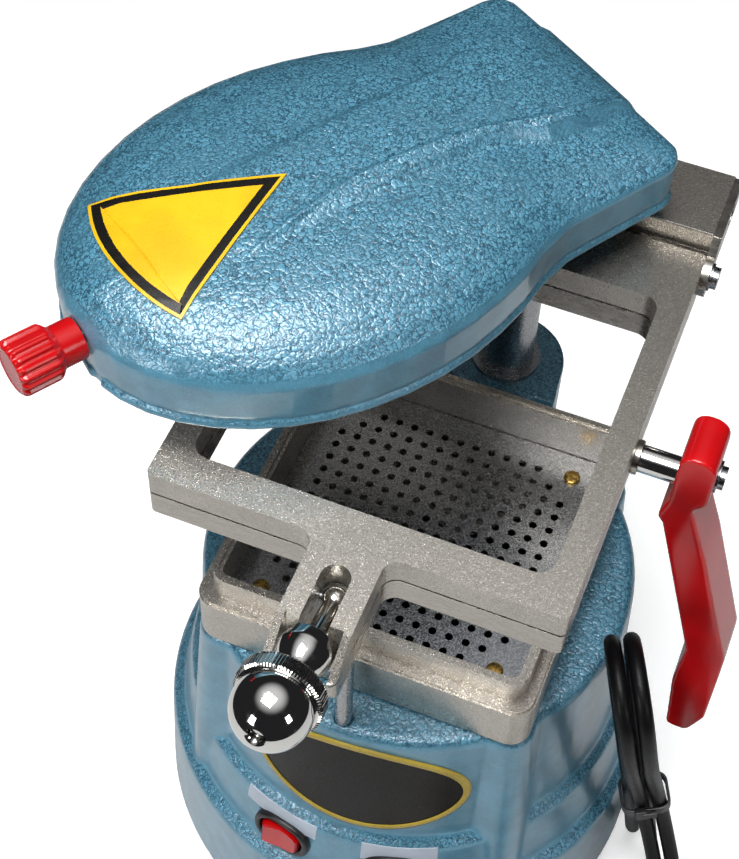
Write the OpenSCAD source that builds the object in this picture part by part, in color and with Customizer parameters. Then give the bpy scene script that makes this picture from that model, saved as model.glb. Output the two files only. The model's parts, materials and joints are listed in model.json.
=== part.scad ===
// Dental vacuum former for square thermoforming sheets.
// A cast body houses the suction motor and carries a perforated tray. A film frame slides down
// a rear column over the tray, and a heater head swivels on top of the same column.
// Z is up, Z = 0 is the table, the body's axis is X = Y = 0 and -Y is the front.

/* [Film frame] */
// Side of the square film sheet
film = 127; // [105:1:155]
// Overhang of the frame past the sheet, each side
film_margin = 6.5; // [5:0.5:9]
// Width of the frame's side bars
side_bar = 9.5; // [8:0.5:12]
// Width of the frame's front bar
front_bar = 12.5; // [10:0.5:16]
// Width of the frame's rear bar
rear_bar = 25.8; // [20:0.2:32]
// Thickness of each of the two frames
frame_t = 10; // [8:0.5:12]
// Gap between the two frames, where the sheet is gripped
film_gap = 0.8; // [0.5:0.1:2]
// Corner radius of the frame's opening
opening_r = 6; // [3:0.5:10]
// Travel of the film frame down to the tray
travel = 66; // [50:1:80]

/* [Swing-bolt clamp] */
// Half width of the frame's front tongue
tongue_half = 12; // [11:0.5:15]
// Width of the slot in the tongue
slot_w = 9.7; // [8:0.1:12]
// Radius of the swing bolt's stud
stud_r = 3; // [2.5:0.25:3.5]
// Radius of the clamp saddle's disc
saddle_r = 9; // [8:0.25:9.2]
// Radius of the knurled ring
knurl_r = 16.5; // [14:0.5:20]
// Number of ridges on the knurled ring
knurl_count = 60; // [40:2:80]
// Radius of the ball knob
ball_r = 15; // [12:0.5:18]
// Tilt of the closed bolt above level, in degrees
bolt_tilt = 16; // [10:1:20]

/* [Tray] */
// Height of the tray's square base
tray_base_h = 23; // [19:0.5:28]
// Height of the raised rim above the base
rim_h = 11; // [9:0.5:14]
// Width of the raised rim
rim_w = 3.6; // [3:0.2:5]
// Pitch of the plate's holes
hole_pitch = 6.35; // [5.5:0.05:7.5]
// Radius of the plate's holes
hole_r = 1.5; // [1:0.1:2]
// Holes along each side of the plate
hole_rows = 15; // [11:2:15]
// Thickness of the perforated plate
plate_t = 1.2; // [1:0.1:2]

/* [Body casting] */
// Height of the casting's flat top above the table
body_h = 159; // [132:1:192]
// Outward flare of the upper tier's wall
tier_1_flare = 3.6; // [2:0.2:6]
// Outward step of the upper ledge
ledge_1_step = 4.4; // [3:0.2:6]
// Outward flare of the middle tier's wall
tier_2_flare = 4; // [2:0.2:6]
// Outward step of the lower ledge
ledge_2_step = 5.2; // [3:0.2:7]
// Outward flare of the bottom tier's wall
tier_3_flare = 2.4; // [1:0.2:5]
// Drop from the casting's top to the upper ledge
ledge_1_drop = 71; // [58:1:80]
// Drop from the casting's top to the lower ledge
ledge_2_drop = 101; // [92:1:112]
// Wall of the casting
body_wall = 5; // [4:0.5:7]
// Thickness of the casting's roof
roof_t = 11; // [9:0.5:14]
// Height of the rubber feet
foot_h = 6; // [4:0.5:10]

/* [Column] */
// Radius of the chromed column
column_r = 11; // [9:0.5:13.5]
// Radius of the reduced end that carries the heater head
spigot_r = 8; // [7:0.5:9]
// Radius of the bore for the heater's lead
lead_bore_r = 4.5; // [3.5:0.5:5]
// Radius of the guide rod
rod_r = 3.15; // [2.5:0.05:4]

/* [Carriage] */
// Depth of the carriage bar, front to back
block_d = 31; // [28:1:38]
// Height of the carriage bar
block_h = 12.5; // [11:0.5:18]
// Rise of the carriage bar's top above the upper frame
block_rise = 8.5; // [7:0.5:10]
// Thickness of the hinge ears
ear_t = 3; // [2.5:0.5:5]
// Radius of the hinge screws' shoulder
hinge_r = 3; // [2:0.25:4]

/* [Pull handle] */
// Radius of the handle's stud
handle_stud_r = 4.75; // [4:0.25:6]
// Length of the stud between frame and handle
handle_reach = 15; // [12:0.5:20]
// Width of the handle, front to back
handle_w = 20; // [16:1:26]

/* [Heater head] */
// Half length of the head's oval
head_half_len = 92; // [78:1:110]
// Half width of the head's oval
head_half_wid = 70; // [60:1:84]
// Distance from the column to the oval's centre
head_reach = 95; // [80:1:110]
// Half width of the head's square rear
head_rear_half = 54; // [45:1:60]
// Length of the head behind the column
head_tail = 25; // [22:1:30]
// Height of the head's side wall above its rim
head_wall_h = 19; // [15:0.5:24]
// Wall of the head casting
head_wall = 3.2; // [2.5:0.1:4]
// Swivel angle of the head at rest, to the left of straight ahead
head_angle = 33; // [0:1:40]
// Radius of the heating element's tube
element_r = 3.5; // [3:0.25:4]

/* [Switches and name plate] */
// Angle of the left switch from the front, in degrees
switch_1_angle = -11.8; // [-20:0.1:-9]
// Angle of the right switch from the front, in degrees
switch_2_angle = 17; // [10:0.5:24]
// Width of a switch's oval bezel
bezel_w = 25; // [23:0.5:28]
// Height of a switch's oval bezel
bezel_h = 19; // [17.5:0.5:22]
// Width of the oval name plate along the wall
name_plate_w = 88; // [70:1:104]
// Height of the oval name plate
name_plate_h = 58; // [40:1:62]

/* [Lead] */
// Diameter of the mains lead
cord_d = 6; // [5:0.5:7]

/* [Fits] */
// Radial clearance of parts that turn or slide in each other
fit_run = 0.05; // [0.02:0.01:0.1]
// Clearance around parts that are dropped in and screwed down
fit_loose = 0.3; // [0.2:0.05:0.6]
// Gap left between moving parts that pass without touching
fit_pass = 0.5; // [0.3:0.1:1]

/* [Hidden] */
$fn = 64;

// Plan of the frame and tray
frame_half = film / 2 + film_margin;
opening_half = frame_half - side_bar;
rim_half = opening_half - 1.2;
tray_half = rim_half + 4.4;
tray_y = -1.5;
opening_front = tray_y - rim_half - 1.7;
opening_back = tray_y + rim_half + 0.4;
frame_front = opening_front - front_bar;
frame_back = opening_back + rear_bar;
pin_y = frame_front - 13;
rod_y = frame_front - 2;
column_y = frame_back + 16;

// Heights of the frame and tray
gasket_t = 1;
tray_z = body_h + gasket_t;
flange_z = tray_z + tray_base_h;
rim_z = flange_z + rim_h;
plate_z = flange_z - 9.3;
lower_z = flange_z + 0.2 + travel;
upper_z = lower_z + frame_t + film_gap;
frame_top = upper_z + frame_t;
lower_mid = lower_z + frame_t / 2;
pin_z = lower_z + 7.8;

// Carriage bar behind the frames
block_top = frame_top + block_rise;
block_z = block_top - block_h;
block_front = frame_back + 2;
block_back = block_front + block_d;
hub_r = column_r + 11;
hub_drop = 30;
bush_r = column_r + 1.5;
ear_side = frame_half + ear_t;
hinge_y = frame_back - 4.5;
hinge_z = upper_z + frame_t / 2;

// Radii and heights of the body casting
body_top_r = -rod_y + 5.4;
tier_1_r = body_top_r + tier_1_flare;
tier_2_top_r = tier_1_r + ledge_1_step;
tier_2_r = tier_2_top_r + tier_2_flare;
tier_3_top_r = tier_2_r + ledge_2_step;
tier_3_r = tier_3_top_r + tier_3_flare;
ledge_1_z = body_h - ledge_1_drop;
ledge_2_z = body_h - ledge_2_drop;
skirt_z = 4;
corner_top = tray_half + 1.3;
corner_base = corner_top + 9.5;
corner_r = 10;
hollow_r = body_top_r - body_wall - 1;
pad_z = body_h + 3;
tower_r = column_r + 13;
socket_z = 40;

// Heights inside the body
roof_z = body_h - roof_t;
motor_gasket_t = 5;
fan_top = roof_z - motor_gasket_t;
fan_h = 34;
fan_r = 56;
motor_r = 38;
bridge_z = 36;
bridge_t = 3;
motor_stud_x = 66;
cover_t = 2;
cover_r = tier_3_r - body_wall - fit_loose;
inlet_r = 12;

// Heights at the heater head
washer_z = block_top + 2.5;
washer_t = 1;
hub_bottom = washer_z + washer_t + fit_run;
head_rim_z = block_top + 6.5;
head_shoulder = head_rim_z + head_wall_h;
hub_top = head_shoulder + 2;
hub_ring_z = hub_top - 8;
reflector_z = head_rim_z + 9;

// Middle of the switches on the sloping wall of the middle tier
tier_2_tilt = atan(tier_2_flare / (ledge_2_drop - ledge_1_drop));
switch_z = ledge_2_z + 14.5;
switch_r = tier_2_r - tier_2_flare * 14.5 / (ledge_2_drop - ledge_1_drop) - 0.4;
rocker_swing = 8;

function unit(v) = v / norm(v);

// Points of the arc that rounds the corner b of the path a, b, c to radius r
function corner(a, b, c, r, n) =
  let (
    u = unit(a - b),
    w = unit(c - b),
    half = acos(max(-1, min(1, u * w))) / 2,
    t = min(r / tan(half), 0.49 * min(norm(a - b), norm(c - b))),
    arc_r = t * tan(half),
    centre = b + unit(u + w) * arc_r / sin(half),
    p = b + u * t - centre,
    q = b + w * t - centre,
    start = atan2(p.y, p.x),
    turn = (atan2(q.y, q.x) - start + 540) % 360 - 180
  )
  [for (i = [0:n]) centre + arc_r * [cos(start + turn * i / n), sin(start + turn * i / n)]];

// Closed outline from corners [x, y, radius], each rounded in n steps
function rounded(pts, n = 6) =
  let (m = len(pts), xy = [for (p = pts) [p.x, p.y]])
  [for (i = [0:m - 1])
    each pts[i][2] > 0
      ? corner(xy[(i + m - 1) % m], xy[i], xy[(i + 1) % m], pts[i][2], n)
      : [xy[i]]];

// Rectangular slab with round corners, centred on the origin
module round_slab(w, d, r, h) {
  linear_extrude(h) {
    square([w - 2 * r, d], center = true);
    square([w, d - 2 * r], center = true);
    for (x = [-1, 1], y = [-1, 1])
      translate([x * (w / 2 - r), y * (d / 2 - r)])
        circle(r);
  }
}

module along_x(x, y, z, r, len) {
  translate([x, y, z])
    rotate([0, 90, 0])
      cylinder(r = r, h = len);
}

module along_y(x, y, z, r, len) {
  translate([x, y, z])
    rotate([-90, 0, 0])
      cylinder(r = r, h = len);
}

// Places children on a wall that leans in by tilt: X along the wall, Y up it, Z out of it
module on_wall(angle, r, z, tilt) {
  rotate([0, 0, angle])
    translate([0, -r, z])
      rotate([90 - tilt, 0, 0])
        children();
}

// Places children in the head's own frame: X forward from the column, Y across, Z up
module in_head() {
  translate([0, column_y, 0])
    rotate([0, 0, -90 - head_angle])
      children();
}

// Places children on the closed swing bolt's axis: Z from the pin out to the knob
module on_bolt() {
  translate([0, pin_y, pin_z])
    rotate([90 - bolt_tilt, 0, 0])
      children();
}

// Outside of the round drum with its two ledges
module drum() {
  rotate_extrude($fn = 128)
    polygon(rounded([
      [0, skirt_z, 0],
      [tier_3_r - 1, skirt_z, 0],
      [tier_3_r, skirt_z + 2, 0],
      [tier_3_top_r, ledge_2_z - 1, 3],
      [tier_2_r, ledge_2_z + 2, 4],
      [tier_2_top_r, ledge_1_z - 1, 3],
      [tier_1_r, ledge_1_z + 2, 4],
      [body_top_r, body_h, 4],
      [0, body_h, 0]
    ], 4));
}

// Square with round corners that stands through the drum as four pillars
module pillars() {
  hull() {
    translate([0, 0, skirt_z])
      round_slab(2 * corner_base, 2 * corner_base, corner_r, 1, $fn = 32);
    translate([0, 0, body_h - 3.5])
      round_slab(2 * corner_top + 0.6, 2 * corner_top + 0.6, corner_r, 1, $fn = 32);
    translate([0, 0, body_h - 1])
      round_slab(2 * corner_top - 4, 2 * corner_top - 4, corner_r - 1, 1, $fn = 32);
  }
}

// Rear tower that holds the column
module tower() {
  translate([0, 0, skirt_z])
    linear_extrude(body_h - skirt_z)
      tower_plan(60);
  translate([0, 0, body_h - 1])
    linear_extrude(pad_z - body_h + 1)
      tower_plan(body_top_r + 1.5);
}

module tower_plan(front) {
  translate([0, column_y])
    circle(tower_r);
  polygon([
    [-tower_r - 2, front],
    [tower_r + 2, front],
    [tower_r + 2, max(front, column_y - 16)],
    [tower_r, column_y],
    [-tower_r, column_y],
    [-tower_r - 2, max(front, column_y - 16)]
  ]);
}

cover_screw_r = cover_r - 6;
cover_screw_angles = [30, 150, 270];
feet_r = tier_3_r - 22;
feet_angles = [45, 135, 225, 315];
socket_r = column_r + fit_run;

module body_housing() {
  color("steelblue")
    difference() {
      union() {
        difference() {
          union() {
            drum();
            pillars();
            tower();
          }
          // Hollow for the motor, wider in the lower tiers
          rotate_extrude($fn = 96)
            polygon([
              [0, skirt_z - 1],
              [tier_3_r - body_wall, skirt_z - 1],
              [tier_3_top_r - body_wall, ledge_2_z - 6],
              [tier_2_r - body_wall, ledge_2_z - 3],
              [tier_2_top_r - body_wall, ledge_1_z - 6],
              [tier_1_r - body_wall - 0.5, ledge_1_z - 3],
              [hollow_r, roof_z],
              [0, roof_z]
            ]);
        }
        // Column socket, guide rod boss and cover screw bosses
        translate([0, column_y, skirt_z])
          cylinder(r = tower_r, h = roof_z - skirt_z);
        translate([0, rod_y, ledge_2_z])
          cylinder(r = body_top_r + rod_y - 0.4, h = body_h - ledge_2_z - 4);
        for (a = cover_screw_angles)
          rotate([0, 0, a])
            translate([cover_screw_r, 0, foot_h + cover_t])
              cylinder(r = 5.5, h = 14);
      }
      translate([0, column_y, socket_z])
        cylinder(r = socket_r, h = body_h);
      translate([0, column_y, skirt_z - 1])
        cylinder(r = lead_bore_r, h = body_h);
      // Way in for the heater's lead at the foot of the socket
      along_y(0, column_y - tower_r - 8, skirt_z + 14, 6, tower_r + 8);
      translate([0, rod_y, ledge_2_z + 8])
        cylinder(r = rod_r + fit_run, h = body_h);
      translate([0, 0, roof_z - 1])
        cylinder(r = inlet_r, h = roof_t + 2);
      along_y(0, column_y, socket_z + 30, 3, tower_r + 1);
      tray_screw_holes(2.5);
      for (x = [-motor_stud_x, motor_stud_x])
        translate([x, 0, roof_z - 1])
          cylinder(r = 2.5, h = 8);
      for (a = cover_screw_angles)
        rotate([0, 0, a])
          translate([cover_screw_r, 0, foot_h])
            cylinder(r = 2, h = 14);
      for (a = [switch_1_angle, switch_2_angle])
        on_wall(a, switch_r, switch_z, tier_2_tilt) {
          translate([-11, -7.8, -14])
            cube([22, 15.6, 20]);
          translate([-bezel_w / 2 - 0.5, -bezel_h / 2 - 0.5, 0])
            cube([bezel_w + 1, bezel_h + 1, 6]);
        }
      relief_hole();
      // The skirt is open below the cover
      translate([0, 0, skirt_z - 1])
        cylinder(r = cover_r + fit_loose, h = foot_h - skirt_z + cover_t + 1);
    }
}

module tray_screw_holes(r) {
  for (x = [-1, 1], y = [-1, 1])
    translate([x * (tray_half - 14), tray_y + y * (tray_half - 14), roof_z - 1])
      cylinder(r = r, h = roof_t + 12);
}

module bottom_cover() {
  color("dimgray")
    translate([0, 0, foot_h])
      difference() {
        cylinder(r = cover_r, h = cover_t);
        for (a = cover_screw_angles)
          rotate([0, 0, a])
            translate([cover_screw_r, 0, -1])
              cylinder(r = 2.2, h = cover_t + 2);
        for (a = feet_angles)
          rotate([0, 0, a])
            translate([feet_r, 0, -1])
              cylinder(r = 2.5, h = cover_t + 2);
        // Air slots
        for (x = [-36:9:36])
          translate([x - 2, -24, -1])
            cube([4, 48, cover_t + 2]);
        translate([0, column_y, -1])
          cylinder(r = tower_r + fit_loose, h = cover_t + 2);
      }
}

module rubber_feet() {
  color("black")
    for (a = feet_angles)
      rotate([0, 0, a])
        translate([feet_r, 0, 0]) {
          rotate_extrude()
            polygon([[0, 0], [8, 0], [9.5, foot_h], [0, foot_h]]);
          translate([0, 0, foot_h - 1])
            cylinder(r = 2.5, h = cover_t + 1);
          translate([0, 0, foot_h + cover_t])
            cylinder(r = 4, h = 1.5);
        }
}

module cover_screws() {
  color("silver")
    for (a = cover_screw_angles)
      rotate([0, 0, a])
        translate([cover_screw_r, 0, 0]) {
          translate([0, 0, foot_h - 2])
            cylinder(r = 3.8, h = 2);
          translate([0, 0, foot_h - 0.5])
            cylinder(r = 2, h = 11);
        }
}

module motor_gasket() {
  color("black")
    translate([0, 0, fan_top])
      difference() {
        cylinder(r = fan_r - 6, h = motor_gasket_t);
        translate([0, 0, -1])
          cylinder(r = 24, h = motor_gasket_t + 2);
      }
}

module fan_casing() {
  color("silver")
    translate([0, 0, fan_top - fan_h])
      difference() {
        cylinder(r = fan_r, h = fan_h);
        translate([0, 0, 1.5])
          cylinder(r = fan_r - 1.5, h = fan_h - 3);
        translate([0, 0, fan_h - 2])
          cylinder(r = 16, h = 3);
        for (a = [0:30:330])
          rotate([0, 0, a])
            translate([fan_r - 3, -4, 3])
              cube([6, 8, 8]);
      }
}

module motor() {
  color("dimgray")
    difference() {
      union() {
        translate([0, 0, bridge_z + bridge_t + 8])
          cylinder(r = motor_r, h = fan_top - fan_h - bridge_z - bridge_t - 8);
        translate([0, 0, bridge_z + bridge_t])
          cylinder(r = 12, h = 9);
        // Brush holders
        translate([-motor_r - 7, -5, bridge_z + bridge_t + 14])
          cube([2 * motor_r + 14, 10, 12]);
      }
      for (a = [30:60:330])
        rotate([0, 0, a])
          translate([motor_r - 8, -6, bridge_z + bridge_t + 34])
            cube([12, 12, 14]);
    }
}

module motor_bridge() {
  color("silver")
    translate([0, 0, bridge_z])
      difference() {
        round_slab(2 * motor_stud_x + 16, 26, 5, bridge_t);
        for (x = [-motor_stud_x, motor_stud_x])
          translate([x, 0, -1])
            cylinder(r = 2.6, h = bridge_t + 2);
      }
}

module motor_studs() {
  color("silver")
    for (x = [-motor_stud_x, motor_stud_x])
      translate([x, 0, 0]) {
        translate([0, 0, bridge_z - 6])
          cylinder(r = 2.5, h = roof_z + 6 - bridge_z + 6);
        translate([0, 0, bridge_z - 4])
          cylinder(r = 4.6, h = 4, $fn = 6);
      }
}

module tray_gasket() {
  color("black")
    translate([0, tray_y, body_h])
      difference() {
        round_slab(2 * tray_half - 3, 2 * tray_half - 3, 7, gasket_t);
        translate([0, 0, -1])
          round_slab(2 * tray_half - 16, 2 * tray_half - 16, 5, gasket_t + 2);
      }
}

dish_half = rim_half - rim_w;
dish_corner_r = 3;
plate_half = dish_half - fit_loose;

module tray() {
  color("silver")
    translate([0, tray_y, 0])
      difference() {
        union() {
          translate([0, 0, tray_z])
            round_slab(2 * tray_half, 2 * tray_half, 8, tray_base_h - 1.5);
          translate([0, 0, flange_z - 1.5])
            round_slab(2 * tray_half - 1.6, 2 * tray_half - 1.6, 7.2, 1.5);
          translate([0, 0, flange_z])
            round_slab(2 * rim_half, 2 * rim_half, 7, rim_h);
        }
        translate([0, 0, plate_z - plate_t])
          round_slab(2 * dish_half, 2 * dish_half, dish_corner_r, 60);
        // Stepped inner lip
        translate([0, 0, rim_z - 1.2])
          round_slab(2 * dish_half + 3, 2 * dish_half + 3, dish_corner_r + 1.5, 4);
        // Air chamber under the plate, with posts for its screws
        difference() {
          translate([0, 0, tray_z + 6])
            round_slab(2 * dish_half - 9, 2 * dish_half - 9, 4, 60);
          for (x = [-1, 1], y = [-1, 1])
            translate([x * plate_screw_at, y * plate_screw_at, tray_z])
              cylinder(r = 6, h = plate_z - plate_t - tray_z);
        }
        translate([0, 0, tray_z - 1])
          cylinder(r = inlet_r, h = 10);
        for (x = [-1, 1], y = [-1, 1]) {
          translate([x * plate_screw_at, y * plate_screw_at, plate_z - plate_t - 7])
            cylinder(r = 1.7, h = 20);
          translate([x * (tray_half - 14), y * (tray_half - 14), tray_z - 1])
            cylinder(r = 2.5, h = 5);
        }
      }
}

module tray_screws() {
  color("silver")
    for (x = [-1, 1], y = [-1, 1])
      translate([x * (tray_half - 14), tray_y + y * (tray_half - 14), 0]) {
        translate([0, 0, roof_z - 3])
          cylinder(r = 4.5, h = 3);
        translate([0, 0, roof_z - 1])
          cylinder(r = 2.5, h = roof_t + 1 + gasket_t + 4);
      }
}

plate_screw_at = hole_pitch * (hole_rows - 1) / 2 + 0.65;

// A corner hole is left out where its row and column together are near the corner
function hole_stays(i, j) =
  let (a = min(i, hole_rows - 1 - i), b = min(j, hole_rows - 1 - j))
  a + b >= 2;

module perforated_plate() {
  color("gainsboro")
    translate([0, tray_y, plate_z - plate_t])
      difference() {
        round_slab(2 * plate_half, 2 * plate_half, dish_corner_r - fit_loose, plate_t);
        for (i = [0:hole_rows - 1], j = [0:hole_rows - 1])
          if (hole_stays(i, j))
            translate([(i - (hole_rows - 1) / 2) * hole_pitch, (j - (hole_rows - 1) / 2) * hole_pitch, -1])
              cylinder(r = hole_r, h = plate_t + 2, $fn = 24);
        for (x = [-1, 1], y = [-1, 1])
          translate([x * plate_screw_at, y * plate_screw_at, -1])
            cylinder(r = 1.7, h = plate_t + 2);
      }
}

module plate_screws() {
  color("darkgoldenrod")
    for (x = [-1, 1], y = [-1, 1])
      translate([x * plate_screw_at, tray_y + y * plate_screw_at, 0]) {
        translate([0, 0, plate_z])
          rotate_extrude($fn = 32)
            polygon(rounded([[0, 0, 0], [3.2, 0, 0], [3.1, 1.2, 0.6], [0, 1.7, 0]], 3));
        translate([0, 0, plate_z - plate_t - 7])
          cylinder(r = 1.7, h = plate_t + 7.5);
      }
}

module column() {
  color("lightgray")
    translate([0, column_y, 0])
      difference() {
        union() {
          translate([0, 0, socket_z])
            cylinder(r = column_r, h = washer_z - socket_z - 1);
          translate([0, 0, washer_z - 1])
            cylinder(r = column_r - 0.8, h = 1);
          translate([0, 0, washer_z])
            cylinder(r = spigot_r, h = hub_top - 2 - washer_z);
        }
        translate([0, 0, socket_z - 1])
          cylinder(r = lead_bore_r, h = hub_top);
        // Groove for the retaining ring
        translate([0, 0, hub_ring_z + 0.1])
          difference() {
            cylinder(r = spigot_r + 1, h = 1.5);
            translate([0, 0, -1])
              cylinder(r = spigot_r - 1, h = 4);
          }
        // Groove that the detent ball drops into with the carriage raised
        translate([0, 0, detent_z])
          rotate_extrude()
            translate([column_r + 1.2, 0])
              circle(2.2, $fn = 24);
      }
}

module column_set_screw() {
  color("dimgray")
    along_y(0, column_y + column_r, socket_z + 30, 3, 10);
}

module column_ring() {
  color("black")
    translate([0, column_y, pad_z])
      difference() {
        cylinder(r = column_r + 3, h = 2);
        translate([0, 0, -1])
          cylinder(r = column_r + fit_run, h = 4);
      }
}

module thrust_washer() {
  color("white")
    translate([0, column_y, washer_z])
      difference() {
        cylinder(r = column_r + 3, h = washer_t);
        translate([0, 0, -1])
          cylinder(r = spigot_r + fit_run, h = washer_t + 2);
      }
}

module retaining_ring() {
  color("dimgray")
    translate([0, column_y, hub_ring_z + 0.1])
      difference() {
        cylinder(r = spigot_r + 2.5, h = 1.5);
        translate([0, 0, -1])
          cylinder(r = spigot_r - 1, h = 4);
        translate([0, -1.5, -1])
          cube([20, 3, 4]);
      }
}

module heater_lead() {
  color("whitesmoke")
    translate([0, column_y, 0]) {
      translate([0, 0, skirt_z + 8])
        cylinder(r = lead_bore_r - 1, h = hub_top - 1 - skirt_z - 8);
      // Grommet on the column's end
      translate([0, 0, hub_top - 2])
        cylinder(r = spigot_r - 1, h = 1.5);
    }
}

detent_z = block_z - 14;
ball_seat_r = 2.4;

module carriage_block() {
  color("silver")
    difference() {
      union() {
        // Bar behind the frames, with its lower rear edge sloped off
        translate([-frame_half, 0, 0])
          rotate([90, 0, 90])
            linear_extrude(2 * frame_half)
              polygon(rounded([
                [block_front, block_top, 0.6],
                [block_front, block_z + 3, 3],
                [block_front + 4, block_z, 0],
                [block_back - 6, block_z, 0],
                [block_back, block_z + 3, 2],
                [block_back, block_top, 0.6]
              ], 3));
        // Web that carries the lower frame
        translate([-45, frame_back, lower_z])
          cube([90, block_back - frame_back - 10, frame_t]);
        translate([-45, block_front, lower_z])
          cube([90, block_back - block_front - 10, block_z - lower_z + 1]);
        // Guide hub
        translate([0, column_y, block_z - hub_drop])
          cylinder(r = hub_r, h = hub_drop + 1);
      }
      translate([0, column_y, block_z - hub_drop - 1])
        cylinder(r = bush_r, h = hub_drop + block_h + 2);
      // Flat front of the hub behind the two frames
      translate([-hub_r - 1, frame_back - hub_r, lower_z])
        cube([2 * hub_r + 2, hub_r, frame_t]);
      translate([-hub_r - 1, block_front - hub_r, lower_z + frame_t])
        cube([2 * hub_r + 2, hub_r, block_h + 10]);
      // Detent bore from the rear
      along_y(0, column_y + column_r - 1, detent_z, 2.5, 30);
      for (x = [-32, 32])
        along_y(x, frame_back - 1, lower_mid, 2.5, block_back - frame_back - 4);
      for (s = [-1, 1])
        along_x(s * frame_half - 12, column_y + 4, block_top - block_h / 2, 2.5, 24);
    }
}

module carriage_bush() {
  color("peru")
    translate([0, column_y, block_z - hub_drop])
      difference() {
        cylinder(r = bush_r, h = hub_drop + block_h);
        translate([0, 0, -1])
          cylinder(r = column_r + fit_run, h = hub_drop + block_h + 2);
        along_y(0, 0, detent_z - block_z + hub_drop, 2.5, 30);
      }
}

// The ball stands clear of the plain column by the passing gap
module detent_ball() {
  color("lightgray")
    translate([0, column_y + column_r + fit_pass + ball_seat_r, detent_z])
      sphere(r = ball_seat_r, $fn = 32);
}

module detent_spring() {
  spring_y = column_y + column_r + fit_pass + 2 * ball_seat_r;
  color("gray")
    along_y(0, spring_y, detent_z, 1.8, column_y + hub_r - 3 - spring_y);
}

module detent_screw() {
  color("dimgray")
    along_y(0, column_y + hub_r - 3, detent_z, 2.5, 2.5);
}

// Side plate of the carriage: a strap on the bar's end with a round hinge ear in front of it
module hinge_ear(side) {
  color("silver")
    difference() {
      translate([side > 0 ? frame_half : -ear_side, 0, 0])
        rotate([90, 0, 90])
          linear_extrude(ear_t) {
            polygon([
              [block_back - 0.5, block_top - 0.5],
              [block_front, block_top - 0.5],
              [hinge_y + 2, hinge_z + 7.2],
              [hinge_y, hinge_z - 7.5],
              [block_front, block_z - 3],
              [block_back - 4, block_z + 1],
              [block_back - 0.5, block_z + 4]
            ]);
            translate([hinge_y, hinge_z])
              circle(7.5);
          }
      along_x(side * frame_half - 12, hinge_y, hinge_z, hinge_r, 24);
      along_x(side * frame_half - 12, column_y + 4, block_top - block_h / 2, 2.5, 24);
      along_x(side > 0 ? ear_side - 1.6 : -ear_side - 1, column_y + 4, block_top - block_h / 2, 4.5, 2.6);
    }
}

module hinge_ear_right() {
  hinge_ear(1);
}

module hinge_ear_left() {
  hinge_ear(-1);
}

module ear_screws() {
  color("lightgray")
    for (s = [0, 1])
      mirror([s, 0, 0]) {
        along_x(frame_half - 10, column_y + 4, block_top - block_h / 2, 2.5, ear_t + 9);
        along_x(ear_side - 1.6, column_y + 4, block_top - block_h / 2, 4.2, 1.2);
      }
}

module hinge_screws() {
  color("lightgray")
    for (s = [0, 1])
      mirror([s, 0, 0]) {
        along_x(frame_half - 9, hinge_y, hinge_z, hinge_r, ear_t + 9.5);
        along_x(ear_side, hinge_y, hinge_z, 5, 0.8);
        along_x(ear_side + 0.8, hinge_y, hinge_z, 4, 2.2);
      }
}

module frame_screws() {
  color("dimgray")
    for (x = [-32, 32]) {
      along_y(x, frame_back - 10, lower_mid, 2.5, block_back - frame_back + 1);
      along_y(x, block_back - 10, lower_mid, 4.5, 4);
    }
}

slot_end = pin_y + 5;

// Plan of one frame with its tongue and the bolt's slot
module frame_plan() {
  difference() {
    union() {
      translate([0, (frame_front + frame_back) / 2])
        round_plan(2 * frame_half, frame_back - frame_front, 2);
      polygon(rounded([
        [-tongue_half - 11, frame_front + 2, 0],
        [-tongue_half - 11, frame_front, 0],
        [-tongue_half, frame_front, 9],
        [-tongue_half, pin_y - 30, 3],
        [tongue_half, pin_y - 30, 3],
        [tongue_half, frame_front, 9],
        [tongue_half + 11, frame_front, 0],
        [tongue_half + 11, frame_front + 2, 0]
      ], 8));
    }
    translate([0, (opening_front + opening_back) / 2])
      round_plan(2 * opening_half, opening_back - opening_front, opening_r);
    // Slot for the bolt, open at the front
    translate([0, slot_end - slot_w / 2])
      circle(slot_w / 2);
    translate([-slot_w / 2, pin_y - 50])
      square([slot_w, slot_end - slot_w / 2 - pin_y + 50]);
  }
}

module round_plan(w, d, r) {
  square([w - 2 * r, d], center = true);
  square([w, d - 2 * r], center = true);
  for (x = [-1, 1], y = [-1, 1])
    translate([x * (w / 2 - r), y * (d / 2 - r)])
      circle(r);
}

// Space in front of the tongue's seat: everything past radius r about the pin, between two horns
module saddle_space(r) {
  difference() {
    translate([-9.5, pin_y - 60, pin_z - 40])
      cube([19, 60, 80]);
    along_x(-20, pin_y, pin_z, r, 40);
    translate([-20, pin_y - 16, pin_z - 50])
      cube([40, 60, 100]);
  }
}

module lower_frame() {
  color("silver")
    difference() {
      translate([0, 0, lower_z])
        linear_extrude(frame_t)
          frame_plan();
      saddle_space(21.2);
      // Sloped nose below
      translate([-30, pin_y - 26, lower_z])
        rotate([0, 90, 0])
          linear_extrude(60)
            polygon([[0.01, 0], [1, 1], [1, -20], [-8, -20], [-5, -4.5]]);
      along_x(-20, pin_y, pin_z, 1.75, 40);
      translate([0, rod_y, lower_z - 1])
        cylinder(r = 2.5, h = 8);
      along_x(frame_half - 8, handle_y, lower_mid, 3, 10);
      for (x = [-32, 32])
        along_y(x, frame_back - 11, lower_mid, 2.5, 12);
    }
}

module guide_rod() {
  color("lightgray")
    translate([0, rod_y, 0]) {
      translate([0, 0, body_h - 14])
        cylinder(r = rod_r, h = lower_z - body_h + 14);
      translate([0, 0, lower_z - 1])
        cylinder(r = 2.5, h = 8);
    }
}

module clamp_pin() {
  color("lightgray")
    along_x(-tongue_half, pin_y, pin_z, 1.75, 2 * tongue_half);
}

handle_y = 3;
handle_in = frame_half + handle_reach;
handle_foot_in = tier_3_r + 3.5;

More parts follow.
